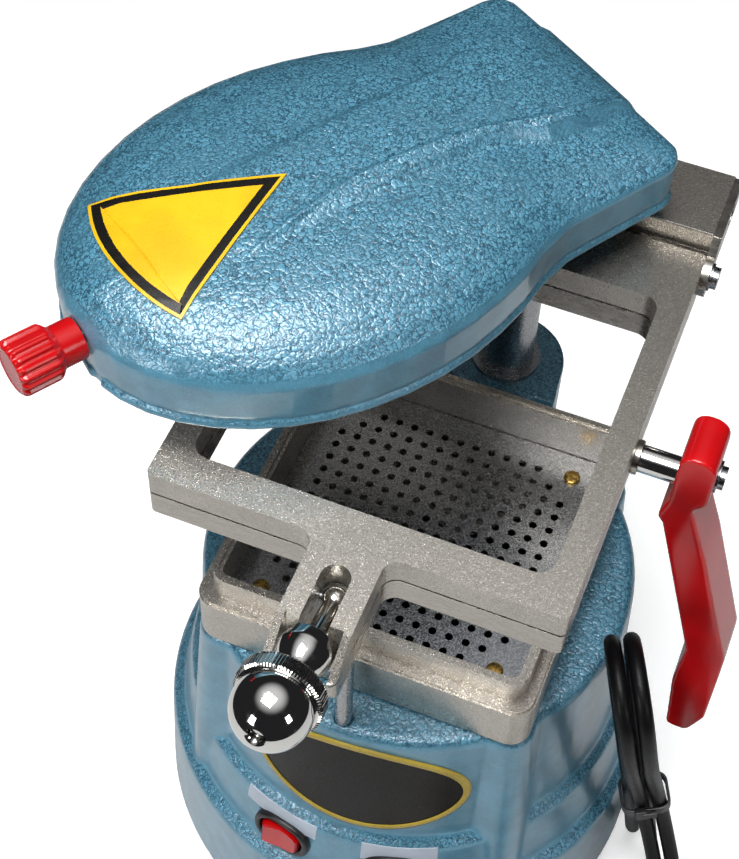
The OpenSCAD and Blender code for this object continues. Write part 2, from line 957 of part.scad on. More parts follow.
module handle_stud() {
  color("lightgray") {
    along_x(frame_half + 2, handle_y, lower_mid, handle_stud_r, handle_reach - 2);
    along_x(frame_half - 8, handle_y, lower_mid, 3, 12);
  }
}

module handle_collar() {
  color("black")
    difference() {
      along_x(frame_half, handle_y, lower_mid, handle_stud_r + 1.2, 2);
      along_x(frame_half - 1, handle_y, lower_mid, 3, 4);
    }
}

module pull_handle() {
  color("firebrick")
    difference() {
      translate([0, handle_y + handle_w / 2, 0])
        rotate([90, 0, 0])
          linear_extrude(handle_w)
            polygon(rounded([
              [handle_in, lower_mid + 20.5, 5],
              [handle_in, lower_mid - handle_stud_r - 0.6, 0],
              [handle_in - 2.3, lower_mid - 14.5, 1.5],
              [handle_in - 0.1, lower_mid - 17, 2],
              [handle_foot_in + 0.4, lower_mid - 89.5, 12],
              [handle_foot_in - 1, lower_mid - 112, 20],
              [handle_foot_in + 2, lower_mid - 144.5, 2],
              [handle_foot_in + 10, lower_mid - 146, 4],
              [handle_foot_in + 15, lower_mid - 132, 8],
              [handle_foot_in + 14.6, lower_mid - 88, 14],
              [handle_in + 18, lower_mid - 33, 6],
              [handle_in + 8.3, lower_mid - 6, 3],
              [handle_in + 12.5, lower_mid - 1, 4],
              [handle_in + 12.5, lower_mid + 20.5, 7]
            ], 5));
      along_x(handle_in - 5, handle_y, lower_mid + 3.5, 2.5, 40);
    }
}

module handle_screw() {
  color("lightgray") {
    along_x(handle_in + 12.5, handle_y, lower_mid + 3.5, 5.5, 0.8);
    along_x(handle_in + 13.3, handle_y, lower_mid + 3.5, 4, 2);
    along_x(handle_in, handle_y, lower_mid + 3.5, 2.5, 14);
  }
}

module upper_frame() {
  color("silver")
    difference() {
      translate([0, 0, upper_z])
        linear_extrude(frame_t)
          frame_plan();
      saddle_space(20.6);
      // Ramp down to the nose
      translate([-30, pin_y - 17, frame_top])
        rotate([0, 90, 0])
          linear_extrude(60)
            polygon([[0, 0], [-1, 1], [-1, -20], [9, -20], [9, -12]]);
      for (s = [-1, 1])
        along_x(s * frame_half - 9.5, hinge_y, hinge_z, hinge_r + fit_run, 19);
    }
}

module swing_bolt() {
  color("lightgray")
    on_bolt()
      difference() {
        union() {
          sphere(r = 4, $fn = 48);
          cylinder(r = stud_r, h = 60);
        }
        rotate([0, 90, 0])
          translate([0, 0, -10])
            cylinder(r = 1.75 + fit_run, h = 20);
      }
}

saddle_at = 21.5;
ring_at = 40.5;
ring_t = 6;
ball_at = 50;

module clamp_saddle() {
  color("lightgray")
    on_bolt()
      rotate_extrude()
        polygon(rounded([
          [stud_r + fit_run, saddle_at, 0],
          [saddle_r, saddle_at, 0.5],
          [saddle_r, saddle_at + 4.5, 0.8],
          [saddle_r - 0.8, saddle_at + 7, 3],
          [saddle_r - 3.6, saddle_at + 12, 4],
          [saddle_r - 3.8, ring_at - 2.5, 0],
          [stud_r + fit_run, ring_at - 2.5, 0]
        ], 4));
}

// Ring with straight ridges round its rim and a coned back
module knurled_ring() {
  color("lightgray")
    on_bolt()
      difference() {
        union() {
          translate([0, 0, ring_at])
            linear_extrude(ring_t)
              polygon([for (i = [0:2 * knurl_count - 1])
                (knurl_r - (i % 2) * 0.6) * [cos(i * 180 / knurl_count), sin(i * 180 / knurl_count)]]);
          translate([0, 0, ring_at - 2.5 + fit_run])
            rotate_extrude()
              polygon([[0, 0], [7, 0], [knurl_r - 2.5, 2.5], [knurl_r - 2.5, 3], [0, 3]]);
        }
        translate([0, 0, ring_at - 5])
          cylinder(r = stud_r + fit_run, h = 20);
      }
}

module ball_knob() {
  color("lightgray")
    on_bolt()
      difference() {
        translate([0, 0, ball_at])
          sphere(r = ball_r, $fn = 64);
        translate([0, 0, ball_at - ball_r - 1])
          cylinder(r = ball_r + 1, h = ring_at + ring_t - ball_at + ball_r + 1);
        translate([0, 0, ring_at])
          cylinder(r = stud_r + fit_run, h = 60.5 - ring_at);
        translate([0, 0, ring_at])
          cylinder(r = 2.4, h = 60);
      }
}

// Half width of the head's plan at u: an oval joined to a square rear by a soft waist
rim_inset = 2.2;

function head_oval(u) =
  let (x = (u - head_reach) / (head_half_len - rim_inset))
  abs(x) >= 1 ? 0 : (head_half_wid - rim_inset) * sqrt(1 - x * x);

function head_block(u) =
  let (r = 10, w = head_rear_half - rim_inset, x = -head_tail + rim_inset + r - u)
  u > head_reach - 40 ? 0 : (x > 0 ? w - r + sqrt(max(0, r * r - x * x)) : w);

function head_w(u) =
  let (a = head_oval(u), b = head_block(u))
  b == 0 ? a : (a == 0 ? b : (a + b + sqrt(pow(a - b, 2) + 16)) / 2);

// Stations along the head: round rear corners, straight sides, then the oval by angle
head_back = -head_tail + rim_inset;
head_stations = concat(
  [for (a = [0:22.5:67.5]) head_back + 10 * (1 - cos(a))],
  [for (i = [0:4]) head_back + 10 + i * (head_reach - 66 - head_back - 10) / 4],
  [for (t = [54:8.5:176]) head_reach - (head_half_len - rim_inset) * cos(t)]
);

// Half width of the raised spine, wide over the column and narrow at the front
function spine_w(u) =
  u > 40 ? 16 - 3 * (u - 40) / 110 : 16 + 21 * pow(sin(90 * min(1, (40 - u) / 55)), 2);

function spine_step(u) =
  u > 150 ? 0 : (u > 40 ? 3.2 * (150 - u) / 110 : 3.2 + 3.2 * sin(90 * min(1, (40 - u) / 45)));

// Columns across the head: spine, its step, then the wing out to the edge
function head_columns(u) =
  let (
    w = head_w(u),
    c = min(spine_w(u), 0.45 * w),
    s = min(3.5, 0.1 * w),
    rest = w - c - s,
    half = [0.5 * c, c, c + s, c + s + 0.25 * rest, c + s + 0.5 * rest, c + s + 0.72 * rest,
      c + s + 0.88 * rest, c + s + 0.97 * rest, w]
  )
  concat([for (i = [8:-1:0]) -half[i]], [0], half);

function head_slope(u) = (head_w(u + 0.5) - head_w(u - 0.5));

// Height of the roof over the shoulder at (u, v)
function head_rise(u, v) =
  let (
    side = (head_w(u) - abs(v)) / sqrt(1 + pow(u > head_reach ? head_slope(u) : 0, 2)),
    d = max(0, min(side, u - head_back + 0.01)),
    round_in = 30,
    k = d > round_in ? 1 : sqrt(max(0, 1 - pow((round_in - d) / round_in, 2))),
    crown = 8 * max(0, 1 - pow((u - 85) / 110, 2)) * (1 - pow(abs(v) / max(1, head_w(u)), 2)),
    c = min(spine_w(u), 0.45 * head_w(u)),
    s = min(3.5, 0.1 * head_w(u)),
    drop = spine_step(u) * min(1, max(0, (abs(v) - c) / s))
  )
  max(0, 12 * k + crown - drop * k);

head_rows = len(head_stations);
head_cols = 19;

// Indices round the edge of a grid of rows and columns
function grid_edge(rows, cols) = concat(
  [for (j = [0:cols - 2]) j],
  [for (i = [0:rows - 2]) i * cols + cols - 1],
  [for (j = [cols - 1:-1:1]) (rows - 1) * cols + j],
  [for (i = [rows - 1:-1:1]) i * cols]
);

head_edge = grid_edge(head_rows, head_cols);
head_edge_n = len(head_edge);

head_roof = [for (u = head_stations) for (v = head_columns(u)) [u, v, head_shoulder + head_rise(u, v)]];

// Inside of the roof: drawn in by the wall, and level over the column for the hub
head_mid = (head_reach + head_half_len - head_tail) / 2;
head_ceiling = [for (p = head_roof)
  let (u = head_mid + (p.x - head_mid) * 0.965, v = p.y * 0.945, z = p.z - head_wall)
  [u, v, u < 28 ? min(z, hub_top) : z]];

// Ring below the roof's edge, moved out by d, at height z
function head_ring(grid, d, z) =
  [for (k = [0:head_edge_n - 1])
    let (
      p = grid[head_edge[k]],
      a = grid[head_edge[(k + head_edge_n - 1) % head_edge_n]],
      b = grid[head_edge[(k + 1) % head_edge_n]],
      t = unit([b.x - a.x, b.y - a.y])
    )
    [p.x + d * t.y, p.y - d * t.x, z]];

head_rings = [
  head_ring(head_roof, 0.6, head_rim_z + 5),
  head_ring(head_roof, 1.4, head_rim_z + 3.6),
  head_ring(head_roof, 2.2, head_rim_z + 2),
  head_ring(head_roof, 1.6, head_rim_z),
  head_ring(head_ceiling, 0, head_rim_z)
];

// Two triangles for each cell of a grid
function grid_faces(rows, cols, start, flip) =
  [for (i = [0:rows - 2], j = [0:cols - 2])
    let (a = start + i * cols + j, b = a + 1, c = a + cols, d = c + 1)
    each flip ? [[a, c, b], [b, c, d]] : [[a, b, c], [b, d, c]]];

// Triangles between two closed rings given as index lists
function ring_faces(p, q) =
  let (n = len(p))
  [for (k = [0:n - 1])
    let (m = (k + 1) % n)
    each [[p[k], q[k], p[m]], [p[m], q[k], q[m]]]];

module head_shell() {
  roof_n = len(head_roof);
  ring_start = 2 * roof_n;
  ring_index = [for (r = [0:len(head_rings) - 1])
    [for (k = [0:head_edge_n - 1]) ring_start + r * head_edge_n + k]];
  ceiling_index = [for (k = head_edge) k + roof_n];
  loops = concat([head_edge], ring_index, [ceiling_index]);
  color("steelblue")
    in_head()
      difference() {
        polyhedron(
          concat(head_roof, head_ceiling, [for (r = head_rings) each r]),
          concat(
            grid_faces(head_rows, head_cols, 0, false),
            grid_faces(head_rows, head_cols, roof_n, true),
            [for (r = [0:len(loops) - 2]) each ring_faces(loops[r], loops[r + 1])]
          )
        );
        // Holes for the knob's stud, the hub's screws and the reflector's screws
        translate([knob_stud_at, 0, knob_z])
          rotate([0, 90, 0])
            cylinder(r = knob_stud_r, h = 30);
        for (a = hub_screw_angles)
          rotate([0, 0, a])
            translate([hub_screw_at, 0, hub_top - 1])
              cylinder(r = 1.7, h = 3);
        for (p = reflector_screw_spots)
          translate([p.x, p.y, head_rim_z])
            cylinder(r = 1.6, h = head_shoulder + head_rise(p.x, p.y) - 1.6 - head_rim_z);
      }
}

// Distance from the column to the flat rear side of the hub's flange
hub_flat = head_tail - rim_inset - 7.3;
knob_z = head_rim_z + 15;
knob_stud_r = 2.5;
knob_stud_at = head_reach + head_half_len - 16;
knob_at = head_reach + head_half_len - rim_inset - 0.3;
hub_screw_angles = [0, 110, 250];
hub_screw_at = 17;
reflector_screw_spots = [for (a = [45:90:315]) [head_reach + 62 * cos(a), 55 * sin(a)]];

module head_hub() {
  color("gray")
    in_head()
      difference() {
        union() {
          translate([0, 0, hub_bottom])
            cylinder(r = spigot_r + 6, h = hub_top - hub_bottom);
          translate([0, 0, hub_top - 6])
            cylinder(r = 20, h = 6);
        }
        translate([0, 0, hub_bottom - 1])
          cylinder(r = spigot_r + fit_run, h = 60);
        translate([0, 0, hub_ring_z])
          cylinder(r = spigot_r + 3, h = 60);
        // Flat rear side inside the head's rear wall
        translate([-40 - hub_flat, -30, hub_bottom])
          cube([40, 60, 60]);
        for (a = hub_screw_angles)
          rotate([0, 0, a])
            translate([hub_screw_at, 0, hub_top - 7])
              cylinder(r = 1.7, h = 10);
      }
}

module hub_screws() {
  color("dimgray")
    in_head()
      for (a = hub_screw_angles)
        rotate([0, 0, a])
          translate([hub_screw_at, 0, hub_top - 8]) {
            cylinder(r = 1.7, h = 10);
            cylinder(r = 3, h = 2);
          }
}

// Oval plate that closes the head and throws the heat down
module reflector_plate() {
  color("gainsboro")
    in_head()
      translate([0, 0, reflector_z])
        difference() {
          linear_extrude(1)
            polygon([for (a = [0:5:355])
              [head_reach + (head_half_len - 9) * cos(a), (head_half_wid - 9) * sin(a)]]);
          translate([0, 0, -1])
            cylinder(r = spigot_r + 8, h = 3);
          for (p = reflector_screw_spots)
            translate([p.x, p.y, -1])
              cylinder(r = 1.6, h = 3);
          for (y = [-element_gap, element_gap])
            translate([head_reach - element_post_at, y, -1])
              cylinder(r = element_post_r + 0.2, h = 3);
        }
}

module reflector_screws() {
  color("gray")
    in_head()
      for (p = reflector_screw_spots)
        translate([p.x, p.y, reflector_z - 1.6]) {
          cylinder(r = 3, h = 1.6);
          cylinder(r = 1.6, h = head_shoulder + head_rise(p.x, p.y) - reflector_z);
        }
}

element_post_r = element_r + 0.4;
element_loop_r = 24;
element_gap = 8;
element_post_at = sqrt(pow(element_loop_r, 2) - pow(element_gap, 2));

// Tubular element: a loop below the plate, with its two ends turned up through it
module heating_element() {
  gap_angle = asin(element_gap / element_loop_r);
  z = reflector_z - element_post_r - 0.3;
  color("dimgray")
    in_head()
      translate([head_reach, 0, 0]) {
        translate([0, 0, z])
          rotate([0, 0, 180 + gap_angle])
            rotate_extrude(angle = 360 - 2 * gap_angle)
              translate([element_loop_r, 0])
                circle(element_r, $fn = 24);
        for (s = [-1, 1])
          translate([-element_post_at, s * element_gap, z - element_r - 0.4]) {
            cylinder(r = element_post_r, h = 16);
            translate([0, 0, reflector_z + 1 - z + element_r + 0.4])
              cylinder(r = element_post_r + 1.6, h = 1.2);
          }
      }
}

module heater_knob() {
  color("firebrick")
    in_head()
      translate([knob_at, 0, knob_z])
        rotate([0, 90, 0])
          difference() {
            union() {
              cylinder(r = 7.2, h = 9);
              translate([0, 0, 8])
                cylinder(r1 = 8.2, r2 = 9.3, h = 2);
              translate([0, 0, 10])
                linear_extrude(13)
                  difference() {
                    circle(9.6);
                    for (a = [0:20:340])
                      rotate(a)
                        translate([10, 0])
                          circle(1.1, $fn = 24);
                  }
              translate([0, 0, 23])
                cylinder(r1 = 8.6, r2 = 7.4, h = 1.6);
            }
            translate([0, 0, -1])
              cylinder(r = knob_stud_r, h = 16);
          }
}

module knob_stud() {
  color("gray")
    in_head()
      translate([knob_stud_at, 0, knob_z])
        rotate([0, 90, 0]) {
          cylinder(r = knob_stud_r, h = knob_at + 15 - knob_stud_at);
          translate([0, 0, 5])
            cylinder(r = 4.6, h = 4, $fn = 6);
        }
}

// Thin oval plate wrapped on the upper tier's front wall
module name_plate() {
  mid = (ledge_1_z + body_h) / 2 - 0.5;
  color("black")
    intersection() {
      rotate_extrude($fn = 128)
        polygon([
          [body_top_r, body_h],
          [body_top_r + 0.7, body_h],
          [tier_1_r + 0.7, ledge_1_z + 2],
          [tier_1_r, ledge_1_z + 2]
        ]);
      rotate([0, 0, 5])
        translate([0, 0, mid])
          rotate([90, 0, 0])
            linear_extrude(200)
              polygon([for (a = [0:7.5:352.5]) [name_plate_w * 0.48 * cos(a), name_plate_h / 2 * sin(a)]]);
    }
}

// Fuller than an oval, towards a rectangle
function full(c) = sign(c) * pow(abs(c), 0.66);

window_w = 19.4;
window_h = 13.2;
pivot_depth = 1.5;

module switch_case(angle) {
  color("black")
    on_wall(angle, switch_r, switch_z, tier_2_tilt)
      difference() {
        union() {
          linear_extrude(2.6)
            polygon([for (a = [0:7.5:352.5]) [bezel_w / 2 * full(cos(a)), bezel_h / 2 * full(sin(a))]]);
          translate([-10.7, -7.5, -13])
            cube([21.4, 15, 13.5]);
        }
        translate([-window_w / 2, -window_h / 2, -9])
          cube([window_w, window_h, 20]);
        translate([0, window_h, -pivot_depth])
          rotate([90, 0, 0])
            translate([0, 0, window_h / 2 - 0.7])
              cylinder(r = 1.2 + fit_run, h = window_h + 1.4);
      }
}

module switch_cases() {
  switch_case(switch_1_angle);
  switch_case(switch_2_angle);
}

// Rocker with a shallow V face and round ends about its pivot, drawn pressed at its left end
module rocker(angle) {
  w = window_h - 0.8;
  color("red")
    on_wall(angle, switch_r, switch_z, tier_2_tilt)
      translate([0, 0, -pivot_depth])
        rotate([0, rocker_swing, 0]) {
          rotate([90, 0, 0])
            translate([0, 0, -w / 2])
              linear_extrude(w)
                intersection() {
                  circle(window_w / 2 - 0.4);
                  polygon([[-12, 7], [0, 5.2], [12, 7], [12, -2], [4, -5], [-4, -5], [-12, -2]]);
                }
          rotate([90, 0, 0])
            translate([0, 0, -w / 2 - 0.9])
              cylinder(r = 1.2, h = w + 1.8);
        }
}

module rocker_left() {
  rocker(switch_1_angle);
}

module rocker_right() {
  rocker(switch_2_angle);
}

// Mains lead: out of the body's left rear, round behind the tower and along the foot to the hank
relief_angle = 112;
relief_z = 16;
relief_len = 26;
relief_base = tier_3_r - 0.6;

module at_relief() {
  rotate([0, 0, relief_angle])
    translate([relief_base, 0, relief_z])
      rotate([0, 90, 0])
        children();
}

module relief_hole() {
  at_relief()
    translate([0, 0, -14])
      cylinder(r = 6, h = 20);
}

module strain_relief() {
  color("black")
    at_relief()
      rotate_extrude()
        polygon([
          [0, -8],
          [7.5, -8],
          [7.5, -5.6],
          [5.9, -5.6],
          [5.9, 0.8],
          [7.5, 0.8],
          [7, 3],
          [cord_d / 2 + 0.9, relief_len],
          [0, relief_len]
        ]);
}

// Hank of two loops leaning on the body: e1 from the far run to the near run, e2 up the runs
hank_turn = 25;
hank_lean = 11;
hank_e1 = [sin(hank_turn), -cos(hank_turn), 0];
hank_e2 = [-cos(hank_turn) * sin(hank_lean), -sin(hank_turn) * sin(hank_lean), cos(hank_lean)];
hank_e3 = cross(hank_e2, hank_e1);
hank_bend = 18;
hank_half = 84;
hank_waist = 3.6;
hank_pitch = cord_d + 0.9;
hank_loops = 2;
hank_mid = [110, -35, 103.3];

// Distance of a run from the middle, drawn in at the waist
function hank_off(s) =
  let (k = min(1, abs(s) / (hank_half * 0.9)))
  hank_waist + (hank_bend - hank_waist) * (1 - cos(180 * k)) / 2;

// Distance of a layer from the middle one: the cord climbs one layer along each near run
function hank_layer(layer) = (layer - hank_loops / 2) * hank_pitch;

hank_n = 12;

// Way of the cord through the hank: far run up, bend, near run down, bend, for each loop
hank_path = [for (loop = [0:hank_loops - 1])
  let (last = loop == hank_loops - 1)
  each concat(
    [for (i = [loop == 0 ? 2 : 0:hank_n - 1])
      let (s = -hank_half + 2 * hank_half * i / hank_n)
      hank_point(-hank_off(s), s, hank_layer(loop))],
    [for (a = [0:22.5:157.5])
      hank_point(-hank_bend * cos(a), hank_half + hank_bend * sin(a), hank_layer(loop))],
    [for (i = [0:last ? hank_n - 2 : hank_n - 1])
      let (s = hank_half - 2 * hank_half * i / hank_n)
      hank_point(hank_off(s), s, hank_layer(loop + (1 - cos(180 * i / hank_n)) / 2))],
    last ? [] :
      [for (a = [0:22.5:157.5])
        hank_point(hank_bend * cos(a), -hank_half - hank_bend * sin(a), hank_layer(loop + 1))]
  )];

function hank_point(a, b, c) = hank_mid + a * hank_e1 + b * hank_e2 + c * hank_e3;

// Straight ends, one diameter long, that meet the free lead square on
hank_first = hank_path[0];
hank_last = hank_path[len(hank_path) - 1];
hank_in_dir = unit(hank_path[1] - hank_path[0]);
hank_out_dir = unit(hank_last - hank_path[len(hank_path) - 2]);
hank_route = concat([hank_first - hank_in_dir * cord_d], hank_path, [hank_last + hank_out_dir * cord_d]);

// Tangents, carried side vectors and rings of a tube along a path
function tangents(path) =
  let (n = len(path))
  [for (i = [0:n - 1]) unit(path[min(n - 1, i + 1)] - path[max(0, i - 1)])];

function carried(tan_list) =
  let (n = len(tan_list), first = abs(tan_list[0].z) > 0.8 ? [1, 0, 0] : [0, 0, 1])
  [for (
    i = 0, u = unit(first - (first * tan_list[0]) * tan_list[0]);
    i < n;
    i = i + 1, u = i < n ? unit(u - (u * tan_list[i]) * tan_list[i]) : u
  ) u];

module tube(path, r, sides) {
  n = len(path);
  t = tangents(path);
  u = carried(t);
  points = [for (i = [0:n - 1])
    let (w = cross(t[i], u[i]))
    for (k = [0:sides - 1])
      path[i] + r * (cos(k * 360 / sides) * u[i] + sin(k * 360 / sides) * w)];
  sides_faces = [for (i = [0:n - 2], k = [0:sides - 1])
    let (a = i * sides + k, b = i * sides + (k + 1) % sides, c = a + sides, d = b + sides)
    each [[a, c, b], [b, c, d]]];
  caps = concat(
    [for (k = [1:sides - 2]) [0, k, k + 1]],
    [for (k = [1:sides - 2]) [(n - 1) * sides, (n - 1) * sides + k + 1, (n - 1) * sides + k]]
  );
  polyhedron(points, concat(sides_faces, caps));
}

// Least gap between parts of the hank that are further apart along the cord than three diameters
function path_gap(path) =
  let (n = len(path))
  min([for (i = [0:n - 2]) for (j = [i + 1:n - 1])
    let (d = norm(path[i] - path[j]))
    if (j - i > 3 && d > 0) d]) - cord_d;

hank_end = hank_route[len(hank_route) - 1];

echo(hank_gap = path_gap(hank_route));

// Free stretch from the strain relief to the hank
relief_dir = [cos(relief_angle), sin(relief_angle), 0];
relief_tip = relief_dir * (relief_base + relief_len) + [0, 0, relief_z];
lead_points = [
  [-52.3, 136, 14.9],
  [-49.3, 148, 12],
  [-41.5, 158, 8.4],
  [-30.5, 163.8, 5.2],
  [-18, 164.7, 3.5],
  [-6, 160.3, 3.2],
  [4.5, 150.5, 3.2],
  [14, 140.2, 3.2],
  [23.5, 130, 3.2],
  [33, 119.8, 3.2],
  [42.5, 109.6, 3.2],
  [52, 99.4, 3.2],
  [61.5, 89.2, 3.2],
  [71, 79, 3.2],
  [80, 68.8, 3.2],
  [88, 58, 3.2],
  [95, 46.5, 3.2],
  [100.8, 34, 3.2],
  [104.4, 24.5, 3.2],
  [107, 14.5, 3.3],
  [108.6, 5, 5.2],
  [109, -3, 10.2],
  [108.9, -8.9, 17.8],
  [108.4, -11.9, 25]
];

lead_route = concat(
  [relief_tip, relief_tip + relief_dir * cord_d / 2, relief_tip + relief_dir * cord_d],
  lead_points,
  [hank_route[0] - hank_in_dir * 2 * cord_d, hank_route[0] - hank_in_dir * cord_d, hank_route[0]]
);

// Free stretch from the hank down to the table and into the plug
end_points = [
  [140.6, -46, 23.3],
  [144.5, -50.5, 13],
  [148.5, -59, 5.8],
  [151.5, -70, 3.2],
  [151.5, -81, 4.2],
  [148, -91.5, 6.9],
  [141, -100.4, 10.6],
  [131.8, -105.7, 13.4]
];
plug_pos = [119.6, -110.3, 14];
plug_dir = unit([-0.94, -0.34, 0]);

end_route = concat(
  [hank_end, hank_end + hank_out_dir * cord_d, hank_end + hank_out_dir * 2 * cord_d],
  end_points,
  [plug_pos - plug_dir * cord_d, plug_pos - plug_dir * cord_d / 2, plug_pos]
);

// Direction of the curve at point i, nearer to that of the shorter step
function way_at(p, i) =
  let (
    m = len(p) - 1,
    a = p[max(i, 1)] - p[max(i, 1) - 1],
    b = p[min(i, m - 1) + 1] - p[min(i, m - 1)]
  )
  (unit(a) * norm(b) + unit(b) * norm(a)) / (norm(a) + norm(b));

// Smooth curve through the points, with n steps between two of them
function smooth(p, n) =
  concat([for (i = [0:len(p) - 2], k = [0:n - 1])
    let (
      t = k / n,
      l = norm(p[i + 1] - p[i]),
      h = t * t * (3 - 2 * t)
    )
    (1 - h) * p[i] + h * p[i + 1]
      + t * (1 - t) * l * ((1 - t) * way_at(p, i) - t * way_at(p, i + 1))],
    [p[len(p) - 1]]);

module lead_run() {
  color("black")
    tube(smooth(lead_route, 2), cord_d / 2, 8);
}

module lead_end() {
  color("black")
    tube(smooth(end_route, 2), cord_d / 2, 8);
}

module lead_hank() {
  color("black")
    tube(hank_route, cord_d / 2, 6);
}

// Size of the tie's loop round the drawn-in runs
tie_w = 2 * hank_waist + cord_d + 0.4;
tie_d = (hank_loops - 0.5) * hank_pitch + cord_d + 0.4;

module hank_tie() {
  color("black")
    translate(hank_mid)
      multmatrix([
        [hank_e1.x, hank_e3.x, hank_e2.x, 0],
        [hank_e1.y, hank_e3.y, hank_e2.y, 0],
        [hank_e1.z, hank_e3.z, hank_e2.z, 0],
        [0, 0, 0, 1]
      ])
        linear_extrude(5, center = true)
          translate([0, -0.25 * hank_pitch])
            difference() {
              round_plan(tie_w + 2.4, tie_d + 2.4, 4.4);
              round_plan(tie_w, tie_d, 3.2);
            }
}

// Moulded plug with two round pins, lying on its side
plug_r = plug_pos.z;

module mains_plug() {
  color("black")
    translate(plug_pos)
      rotate([0, 0, atan2(plug_dir.y, plug_dir.x)])
        rotate([0, 90, 0]) {
          rotate_extrude()
            polygon(rounded([
              [0, 0, 0],
              [cord_d / 2 + 1.2, 0, 0],
              [cord_d / 2 + 3, 14, 3],
              [plug_r - 2, 22, 5],
              [plug_r, 30, 3],
              [plug_r, 44, 1.5],
              [0, 44, 0]
            ], 4));
          for (x = [-7, 7])
            translate([0, x, 44]) {
              cylinder(r = 2.4, h = 17);
              translate([0, 0, 17])
                cylinder(r1 = 2.4, r2 = 1.2, h = 2);
            }
        }
}

body_housing();
bottom_cover();
rubber_feet();
cover_screws();
motor_gasket();
fan_casing();
motor();
motor_bridge();
motor_studs();
tray();
tray_gasket();
tray_screws();
perforated_plate();
plate_screws();
column();
column_set_screw();
column_ring();
thrust_washer();
retaining_ring();
heater_lead();
carriage_block();
carriage_bush();
detent_ball();
detent_spring();
detent_screw();
hinge_ear_right();
hinge_ear_left();
ear_screws();
hinge_screws();
frame_screws();
lower_frame();
guide_rod();
clamp_pin();
handle_stud();
handle_collar();
pull_handle();
handle_screw();
upper_frame();
swing_bolt();
clamp_saddle();
knurled_ring();
ball_knob();
head_shell();
head_hub();
hub_screws();
reflector_plate();
reflector_screws();
heating_element();
heater_knob();
knob_stud();
name_plate();
switch_cases();
rocker_left();
rocker_right();
strain_relief();
lead_run();
lead_hank();
lead_end();
hank_tie();
mains_plug();
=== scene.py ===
import bpy
import json
import math
from mathutils import Matrix, Vector
from bpy.props import FloatProperty, FloatVectorProperty, PointerProperty


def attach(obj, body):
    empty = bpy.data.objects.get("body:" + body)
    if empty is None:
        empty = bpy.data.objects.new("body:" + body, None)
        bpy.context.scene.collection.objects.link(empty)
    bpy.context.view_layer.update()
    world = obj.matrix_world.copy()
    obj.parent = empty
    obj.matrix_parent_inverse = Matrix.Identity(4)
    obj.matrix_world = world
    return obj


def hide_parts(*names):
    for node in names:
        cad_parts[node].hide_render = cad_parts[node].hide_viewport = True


bl_info = {
    "name": "Sheet Forming Machine",
    "version": (1, 0, 0),
    "blender": (4, 5, 0),
    "location": "View3D > Sidebar > Forming Machine",
    "description": "Models and finishes a bench machine that heats a plastic sheet and draws it over a cast",
    "category": "Object",
}

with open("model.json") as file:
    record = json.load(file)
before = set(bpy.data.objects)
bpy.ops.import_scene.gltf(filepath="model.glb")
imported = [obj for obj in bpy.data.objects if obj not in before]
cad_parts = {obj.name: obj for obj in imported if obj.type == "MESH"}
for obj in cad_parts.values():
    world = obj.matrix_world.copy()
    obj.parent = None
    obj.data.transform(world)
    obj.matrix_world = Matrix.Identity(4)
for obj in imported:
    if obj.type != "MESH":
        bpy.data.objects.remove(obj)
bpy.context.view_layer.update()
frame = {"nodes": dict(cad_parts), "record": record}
MM = 0.001


def linear(code):
    """Linear colour of an sRGB hex value."""
    parts = [int(code[i:i + 2], 16) / 255 for i in (1, 3, 5)]
    return tuple(c / 12.92 if c <= 0.04045 else ((c + 0.055) / 1.055) ** 2.4 for c in parts)


def colour(name, text, code):
    return FloatVectorProperty(name=name, description=text, default=linear(code),
                               subtype="COLOR", size=3, min=0, max=1)


def size(name, text, value):
    return FloatProperty(name=name, description=text, default=value * MM, unit="LENGTH",
                         subtype="DISTANCE", min=0, precision=5)


class MachineSizes(bpy.types.PropertyGroup):
    cell: size("Enamel cell", "Mean width of one cell of the hammered enamel", 1.8)
    body_grid: size("Body grid", "Grid on which the body's soft coat is laid", 1.25)
    head_grid: size("Head grid", "Grid on which the head's soft coat is laid", 0.95)
    cast_edge: size("Cast edge", "Width of the softened edge of the nickel castings", 0.45)
    sheet_edge: size("Sheet edge", "Width of the softened edge of thin parts", 0.2)
    handle_edge: size("Handle edge", "Width of the rounded edge of the pull handle", 2.2)
    cord_radius: size("Cord radius", "Half the mains lead's diameter", 3.0)
    ball_radius: size("Ball radius", "Radius of the clamp's ball", 12.7)
    grain: size("Grain", "Size of one grain of the blasted nickel", 0.34)
    film: size("Film", "Thickness of stuck-on film and labels", 0.25)


class MachineColours(bpy.types.PropertyGroup):
    enamel: colour("Enamel", "Hammered enamel", "#4F869E")
    # Painted shade: the colour laid into the enamel's creases to stand for the shade that falls in them
    painted_crease_shade: colour("Enamel crease", "Enamel between two cells", "#1B4458")
    nickel: colour("Nickel", "Satin nickel plate", "#B4AFA7")
    chrome: colour("Chrome", "Bright chrome plate", "#DAD9D6")
    # Darker and browner than plain stainless: partly heat tint, partly painted shade for the head's shadow
    # on the plate
    steel: colour("Steel", "Rolled stainless steel", "#85786B")
    brass: colour("Brass", "Yellow passivated screws", "#BE9A52")
    red: colour("Red", "Moulded red plastic", "#B70D12")
    rocker: colour("Rocker", "Clear red rockers", "#C40A0C")
    black: colour("Black", "Black plastic and rubber", "#141416")
    gold: colour("Gold", "Rim of the name plate", "#B29A38")
    yellow: colour("Yellow", "Film on the head", "#DDB016")
    paper: colour("Paper", "Blank labels", "#B4BFCC")


def sizes():
    return bpy.context.scene.machine_sizes


def colours():
    return bpy.context.scene.machine_colours


# ---------------------------------------------------------------- materials

def add(tree, kind, inputs=None, **settings):
    """Adds a node; an input given as another node's output is linked, any other is set."""
    node = tree.nodes.new(kind)
    for key, value in settings.items():
        setattr(node, key, value)
    for key, value in (inputs or {}).items():
        if isinstance(value, bpy.types.NodeSocket):
            tree.links.new(value, node.inputs[key])
        else:
            node.inputs[key].default_value = value
    return node


def rgba(value):
    return (*value, 1.0)


